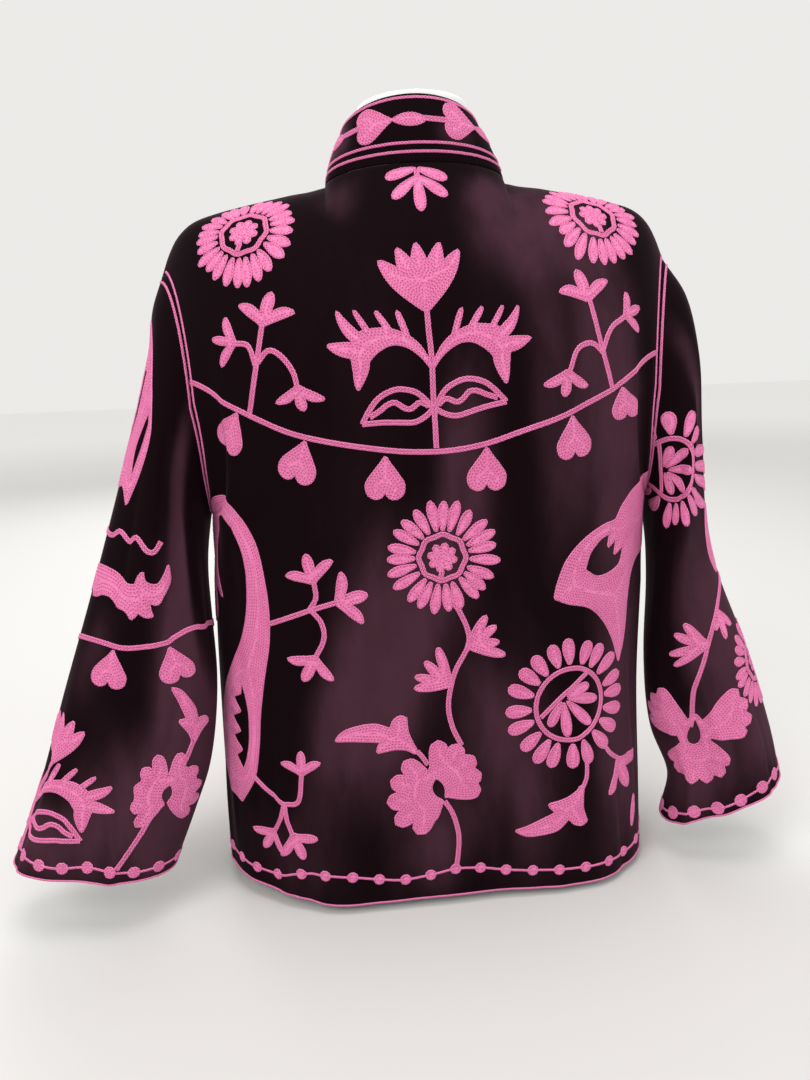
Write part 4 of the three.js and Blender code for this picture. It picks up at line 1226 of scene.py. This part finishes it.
# Below the garland: a round flower on a long stem between two paisleys, sprigs of lilies, a
# palmette, a sunflower and a string of beads above the corded hem.
back_lower = Needlework("thread_back_lower", back)
rosette(back_lower, 0, 345, 3, 1.0, petals=23, reach=53.5, width=10.2)
RIGHT_SPRAY = ((-32, 38), (-10, 37), (9, 34), (30, 41))
LEFT_SPRAY = ((33, 43), (7, 38), (-12, 39), (-30, 38))
spray(back_lower, 23, 257, 70, RIGHT_SPRAY)
spray(back_lower, 11, 220, -56, LEFT_SPRAY)
palmette(back_lower, -4, 115, -17)
barbed_leaf(back_lower, -26, 157, -34)
rosette(back_lower, 129, 190, 0, 1.19, petals=20, ring=30.5, reach=56, width=11.4, blunt=0.36,
        corners=0, inside="fan")
barbed_leaf(back_lower, 139, 103, 194, 1.02, flip=True)
lily(back_lower, 190, 118, 155, 1.15)
lily(back_lower, -98, 305, 72)
lily(back_lower, -119, 324, -16, 0.92)
lily(back_lower, -118, 253, 206, 0.92)
lily(back_lower, -138, 132, -4, 0.8)
lily(back_lower, -176, 65, 208, 0.82)
lily(back_lower, -153, 68, 152, 0.9)
back_lower.hoop(219, 72).fill([turned(petal(38, 9, 0, 0.5, 0.8), 196)])
back_lower.bare()
back_lower.line([
    (8, 303), (15, 296), (25, 274), (25, 258), (14, 236), (9, 218), (7, 198), (11, 178), (19, 160)])
back_lower.line([(-24, 157), (-18, 149), (-14, 142)])
back_lower.line([(1, 103), (9, 88), (14, 66), (13, 45), (10, 27)])
back_lower.line([(146, 128), (145, 114), (139, 101)])
back_lower.line([(166, 144), (176, 130), (191, 119)])
back_lower.line([(-166, 281), (-125, 297), (-97, 306)])
back_lower.line([(-124, 297), (-117, 310), (-119, 326)])
back_lower.line([(-122, 298), (-112, 286), (-110, 270), (-119, 251)])
back_lower.line([(-198, 120), (-181, 106), (-159, 98)])
back_lower.line([(-160, 98), (-144, 104), (-138, 134)])
back_lower.line([(-160, 98), (-165, 82), (-176, 64)])
back_lower.line([(-159, 98), (-158, 82), (-153, 67)])
back_lower.sew()

paisleys = Needlework("thread_back_paisleys", back)
tall = outline(
    [(-214, 400), (-196, 388), (-180, 362), (-170, 330), (-165, 298), (-166, 262), (-174, 222),
     (-181, 185), (-186, 150), (-195, 114), (-215, 84)],
    [(-215, 84), (-238, 96), (-250, 122), (-248, 152), (-240, 182), (-228, 210), (-211, 240),
     (-198, 265), (-191, 292), (-190, 325), (-195, 352), (-206, 374)],
    [(-206, 374), (-223, 384), (-240, 372), (-247, 350), (-241, 325), (-222, 296)],
    [(-222, 296), (-252, 314), (-264, 345), (-264, 372), (-250, 395), (-230, 403), (-214, 400)])
slit = outline(
    [(-203, 214), (-196, 190), (-197, 160), (-202, 138), (-210, 122)], [(-210, 122), (-217, 135)],
    [(-217, 135), (-208, 142)], [(-208, 142), (-219, 156)], [(-219, 156), (-208, 162)],
    [(-208, 162), (-218, 177)], [(-218, 177), (-206, 183)], [(-206, 183), (-214, 198)],
    [(-214, 198), (-205, 202)], [(-205, 202), (-203, 214)])
feather = [
    turned(petal(70, 15, 10, 0.45, 0.8), 168, (-262, 334)),
    turned(petal(46, 12, 20, 0.45, 0.8), 158, (-256, 316))]
paisleys.fill([tall] + feather, [slit])
comma = outline(
    [(300, 420), (252, 408), (215, 397), (188, 382), (176, 366)],
    [(176, 366), (158, 362), (137, 351), (120, 334), (111, 312), (108, 297)],
    [(108, 297), (124, 290), (147, 283), (164, 268), (178, 246), (189, 218)],
    [(189, 218), (199, 250), (204, 285), (214, 310), (236, 326), (300, 345)], [(300, 345), (300, 420)])
notch = outline(
    [(142, 322), (147, 337), (158, 348), (168, 352)], [(168, 352), (166, 337)], [(166, 337), (177, 345)],
    [(177, 345), (175, 329)], [(175, 329), (188, 337)],
    [(188, 337), (184, 322), (170, 315), (155, 314), (142, 322)])
paisleys.fill([comma], [notch])
paisleys.sew()

back_border = Needlework("thread_back_border", back)
BEAD_HEIGHT, HEM_EDGE = 25.0, 0.9


def wavy(places, height, wave=2.0):
    """Spots at about one height, a little uneven."""
    return [(a, height + wave * math.sin(k * 1.7)) for k, a in enumerate(places)]


def string_of_beads(work, spots, size=1.0):
    """Small round beads of stitches on a single row."""
    for a, b in spots:
        bead(work, a, b, size)
    work.bare().line(spots, rows=1)


def edging(work, low, high):
    """A corded row along the lower edge of a cloth."""
    count = int((high - low) / 3)
    work.bare().row(np.stack([np.linspace(low, high, count), np.full(count, HEM_EDGE)], 1), full=0.75)


# across, up: the row rises and falls a little
BEADS = [
    (-272, 20), (-248, 19), (-224, 18), (-200, 17), (-174, 18), (-146, 27), (-119, 32), (-92, 31),
    (-66, 26), (-40, 23), (-15, 25), (10, 29), (35, 27), (61, 22), (88, 20), (115, 19), (143, 18),
    (170, 18), (197, 16), (222, 18), (247, 20), (271, 20)]
string_of_beads(back_border, BEADS)
edging(back_border, -285, 285)
for column, inset in ((0, SIDE_STEP), (-1, -SIDE_STEP)):
    back_border.line(run_along(back, column, 40, 372, inset), rows=1, smoothly=False)
back_border.sew()

# ---------------------------------------------------------------- embroidery of the fronts
# The fronts carry the same flowers as the back, as a pair: rosettes and sprigs above a garland
# of hearts, a round flower on a stem, a sunflower and a row along the opening.
for word, side in (("left", 1), ("right", -1)):
    work = Needlework("thread_front_" + word, fronts[word])
    other = side < 0
    rosette(work, side * 158, 560, 0, 0.98, petals=24, flip=other)
    lily(work, side * 88, 512, -4 * side, 0.95)
    lily(work, side * 52, 492, -64 * side, 0.85, flip=other)
    lily(work, side * 122, 486, 100 * side, 0.85)
    heart(work, side * 44, 440, 10 * side)
    heart(work, side * 122, 424, 2 * side)
    heart(work, side * 200, 432, -8 * side)
    rosette(work, side * 92, 312, 6 * side, 1.0, petals=24)
    spray(work, side * 116, 226, 70 * side, RIGHT_SPRAY, flip=other)
    spray(work, side * 98, 190, -56 * side, LEFT_SPRAY, 0.9, other)
    palmette(work, side * 78, 96, -17 * side, 0.95, flip=other)
    rosette(work, side * 208, 176, 20 * side, 0.95, petals=20, ring=30.5, reach=56, width=11.4, blunt=0.36,
            corners=0, inside="fan", flip=other)
    barbed_leaf(work, side * 196, 96, 172 * side, 0.9, flip=not other)
    tulip(work, side * 216, 262, 8 * side, 0.92)
    work.bare()
    for stretch in (
            [(4, 468), (30, 454), (72, 440), (122, 429), (170, 430), (215, 440), (262, 458)],
            [(96, 436), (92, 474), (88, 514)], [(93, 466), (80, 486), (66, 492), (53, 491)],
            [(93, 472), (104, 484), (121, 486)],
            [(98, 270), (110, 252), (116, 226), (106, 206), (98, 190), (92, 168), (86, 146)],
            [(82, 84), (90, 66), (92, 46), (88, 27)],
            [(206, 122), (204, 108), (197, 94)], [(212, 226), (215, 244), (216, 264)]):
        work.line([(side * a, b) for a, b in stretch])
    string_of_beads(work, wavy([side * a for a in range(12, 270, 25)], BEAD_HEIGHT))
    edging(work, *sorted((side * 1.5, side * 290)))
    if other:       # the rest of the paisley that comes round from the back
        work.fill([outline([(-300, 350), (-262, 356), (-246, 378), (-258, 404), (-300, 416)],
                           [(-300, 416), (-300, 350)])])
    opening = 0 if side > 0 else -1
    for inset in (SIDE_STEP, 3 * SIDE_STEP):
        work.line(run_along(fronts[word], opening, 2, 640, side * inset), rows=1, smoothly=False)
    work.line(run_along(fronts[word], -1 - opening, 4, 630, -side * SIDE_STEP), rows=1, smoothly=False)
    work.sew()

# ---------------------------------------------------------------- embroidery of the sleeves
# Each sleeve has a large motif under its head, and flowers, beads and a corded edge at the
# cuff. The front half repeats most flowers of the back half, turned over.
GIRTHS = {"left": (403, 549), "right": (355, 547)}      # round the cuff, round the head
SLEEVE_LENGTHS = {"left": 471, "right": 456}


def sleeve_half(word, front):
    """Gives the places of a sleeve's back half, or of its front half, which mirrors it."""
    def at(a, b):
        quarter = np.interp(b, (0, SLEEVE_LENGTHS[word]), GIRTHS[word]) / 4
        return ((2 * quarter if word == "left" else -2 * quarter) - a, b) if front else (a, b)

    return at


def round_outside(word, path):
    """A path of the back half turned over about the sleeve's outer line."""
    way = -1 if word == "left" else 1
    return [(way * np.interp(b, (0, SLEEVE_LENGTHS[word]), GIRTHS[word]) / 2 - a, b) for a, b in path]


left_work = Needlework("thread_sleeve_left", sleeves["left"])
left_work.fill(
    [outline([(-75, 309), (-68, 336), (-62, 362), (-62, 384), (-74, 398), (-90, 408), (-112, 423)],
             [(-112, 423), (-138, 434), (-160, 414), (-164, 380), (-150, 342), (-128, 319), (-104, 310)],
             [(-104, 310), (-90, 316), (-75, 309)])],
    [outline([(-69, 384), (-74, 360), (-80, 330)], [(-80, 330), (-85, 350), (-80, 374), (-73, 391)],
             [(-73, 391), (-69, 384)]),
     outline([(-104, 402), (-101, 372), (-107, 338)], [(-107, 338), (-117, 350)],
             [(-117, 350), (-110, 358)], [(-110, 358), (-120, 370)], [(-120, 370), (-112, 380)],
             [(-112, 380), (-118, 396), (-104, 402)])])
tulip(left_work, -69, 97, 10, 0.8)
eyelash_leaf(left_work, -84, 61, 4, 0.98)
eyelash_leaf(left_work, -88, 61, 0, 0.9, flip=True)
almond_leaf(left_work, -82, 40, 8)
almond_leaf(left_work, -86, 40, 4, flip=True)
left_work.bare()
left_work.line([(-69, 98), (-78, 82), (-86, 61), (-85, 40), (-82, 15)])
for front in (False, True):
    at, way = sleeve_half("left", front), -1 if front else 1
    heart(left_work, *at(-41, 211), 11 * way, 0.95)
    heart(left_work, *at(16, 252), -12 * way, 0.9)
    palmette(left_work, *at(47, 105), 20 * way, 0.8, front, 17.5,
             ((-26, 52), (-52, 46), (-82, 41), (-116, 42), (-146, 46)),
             ((8, 58), (36, 53), (66, 48), (98, 48), (128, 46)))
    barbed_leaf(left_work, *at(60, 170), 28 * way, 0.74, flip=front)
    left_work.bare()
    left_work.line([at(a, b) for a, b in ((40, 90), (39, 78), (34, 48), (26, 18))])
    left_work.line([at(a, b) for a, b in ((50, 130), (56, 150), (60, 172))])
for path in (
        [(-115, 184), (-98, 190), (-62, 204), (-28, 219), (10, 249), (22, 264), (42, 289), (61, 307),
         (90, 325), (112, 327)],
        [(-122, 276), (-100, 276), (-85, 280), (-74, 290), (-57, 293), (-47, 303), (-30, 305), (-20, 312),
         (-12, 328)]):
    left_work.line(round_outside("left", path[1:])[::-1] + path)
wing = outline(
    [(-120, 246), (-104, 249), (-86, 255), (-63, 263), (-46, 265), (-36, 271)],
    [(-36, 271), (-34, 280), (-29, 289)], [(-29, 289), (-25, 283), (-18, 285)],
    [(-18, 285), (-9, 292), (-3, 304), (3, 322)], [(3, 322), (9, 310), (6, 298), (2, 288)],
    [(2, 288), (-3, 276), (-13, 269)], [(-13, 269), (-10, 265), (-5, 263)],
    [(-5, 263), (-15, 255), (-24, 253)], [(-24, 253), (-26, 248), (-30, 242)],
    [(-30, 242), (-38, 244), (-50, 240)], [(-50, 240), (-62, 241), (-74, 236)],
    [(-74, 236), (-80, 231), (-88, 227)], [(-88, 227), (-94, 231), (-104, 226), (-118, 226)])
left_work.fill([np.concatenate([wing, round_outside("left", wing)[::-1]])])
string_of_beads(left_work, wavy(range(-186, 216, 23), 14, 1.8), 1.05)
edging(left_work, -200, 202)
left_work.row([(a, 465.5) for a in range(-268, 270, 3)])
left_work.sew()

right_work = Needlework("thread_sleeve_right", sleeves["right"])
for front in (False, True):
    at, way = sleeve_half("right", front), -1 if front else 1
    rosette(right_work, *at(-40, 405), -52 * way, 1.05, petals=20, ring=29, reach=57, width=10.5, blunt=0.4,
            corners=0, inside="fan", flip=front)
    three_fans(right_work, *at(-27, 103), 2 * way, 1.06, flip=front)
    spray(right_work, *at(23, 168), -86 * way, ((-27, 48), (-9, 53), (9, 52), (27, 46)), 0.98, front)
    spray(right_work, *at(48, 184), 160 * way, ((-20, 32), (4, 40), (30, 27)), 0.85, front)
stem = [
    (-28, 112), (-24, 120), (-13, 147), (8, 162), (27, 175), (46, 183), (62, 188), (80, 192), (109, 195)]
right_work.bare().line(stem + round_outside("right", stem[:-1])[::-1])
rosette(right_work, 82, 112, 0, 0.97, petals=22)
right_work.hoop(82, 262).fill([turned(petal(74, 24, 8, 0.5, 0.8), 178)])
string_of_beads(right_work, wavy(range(-168, 184, 25), 11), 1.2)
edging(right_work, -177, 178)
right_work.row([(a, 450.5) for a in range(-266, 268, 3)])
right_work.sew()

# ---------------------------------------------------------------- embroidery of the collar
# Hearts that point to the wearer's right, joined by leaves on a stem, between a row near the
# top edge and two rows above the neck seam.
COLLAR_REPEAT = 82.0
collar_work = Needlework("thread_collar", collar)


def band_slope(a, b):
    """How far the band falls to the right there, in degrees."""
    ends, _ = collar.place(np.array([(a - 2.0, b), (a + 2.0, b)]), np.zeros(2))
    step = ends[1] - ends[0]
    return -math.degrees(math.atan2(step[2], math.hypot(step[0], step[1])))


for k in range(-2, 3):
    shift = COLLAR_REPEAT * k - 19
    heart(collar_work, shift, 37, 90 + band_slope(shift - 16, 37) + 4 * math.sin(k), 0.9)
    leaf = turned(petal(32, 12, 0, 0.5, 0.55), 90)
    collar_work.hoop(shift - 3, 37, band_slope(shift + 13, 37)).fill([leaf])
    collar_work.bare().line([(shift - 6, 37), (shift + 4, 37)], rows=1)
    stem = [(shift + a, b) for a, b in ((26, 37), (38, 36.5), (52, 37)) if shift + a < 250]
    collar_work.line(stem)
collar_work.bare()
collar_work.line([(a, 56) for a in range(-250, 251, 4)], rows=1)
for height in (16.5, 9.0):
    collar_work.line([(a, height) for a in range(-250, 251, 4)], rows=1)
collar_work.sew()

# ---------------------------------------------------------------- dress form
# A white glass-fibre form with no limbs, closed at the neck, satin all over. It carries the
# jacket by the shoulders and stands on its flat base.
bpy.ops.object.select_all(action="DESELECT")
form = bpy.data.objects.new("form", bpy.data.objects["dress_form"].data.copy())
bpy.context.scene.collection.objects.link(form)
form.data.materials.clear()
form.select_set(True)
bpy.context.view_layer.objects.active = form
bpy.ops.object.mode_set(mode="EDIT")
bpy.ops.mesh.select_all(action="SELECT")
bpy.ops.mesh.remove_doubles(threshold=0.00005)
bpy.ops.mesh.tris_convert_to_quads(face_threshold=1.2, shape_threshold=1.2)
bpy.ops.object.mode_set(mode="OBJECT")
rounding = form.modifiers.new("rounding", "SUBSURF")
rounding.levels = rounding.render_levels = 2
bpy.ops.object.modifier_apply(modifier="rounding")
bpy.ops.object.shade_smooth_by_angle(angle=math.radians(SOFT_ANGLE))

FORM_GREY, FORM_WHITE = (0.70, 0.70, 0.69, 1), (0.77, 0.77, 0.76, 1)


def make_form_white():
    made, strand, shader = start_material("form_white")
    spot = strand.take(strand.node("ShaderNodeTexCoord"), "Object")
    cloud, scuff = grain(strand, spot, 9.0, 3.0), grain(strand, spot, 160.0, 4.0)
    strand.feed(shader.inputs["Base Color"], cloud.colours(FORM_GREY, FORM_WHITE))
    strand.feed(shader.inputs["Roughness"], 0.30 + scuff * 0.14)
    ripple = strand.node("ShaderNodeBump", Strength=0.06, Distance=0.0005, Height=scuff)
    strand.feed(shader.inputs["Normal"], strand.take(ripple))
    return made


form.data.materials.append(make_form_white())
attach(form, "root")
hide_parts("dress_form")

floor_material, strand, shader = start_material("pale_floor")
spot = strand.take(strand.node("ShaderNodeTexCoord"), "Object")
away = strand.take(strand.node("ShaderNodeVectorMath", {"operation": "LENGTH"}, Vector=spot), "Value")
# Painted light: paler with distance from the middle, to even out the pool of lamp light.
painted_light_far = (away + grain(strand, spot, 3.0) * 0.1).between(1.6, 7.5)
strand.feed(shader.inputs["Base Color"], painted_light_far.colours(FLOOR_NEAR_PAINTED_SHADE, FLOOR_FAR_PAINTED_LIGHT))
shader.inputs["Roughness"].default_value = 0.8
floor.data.materials.append(floor_material)
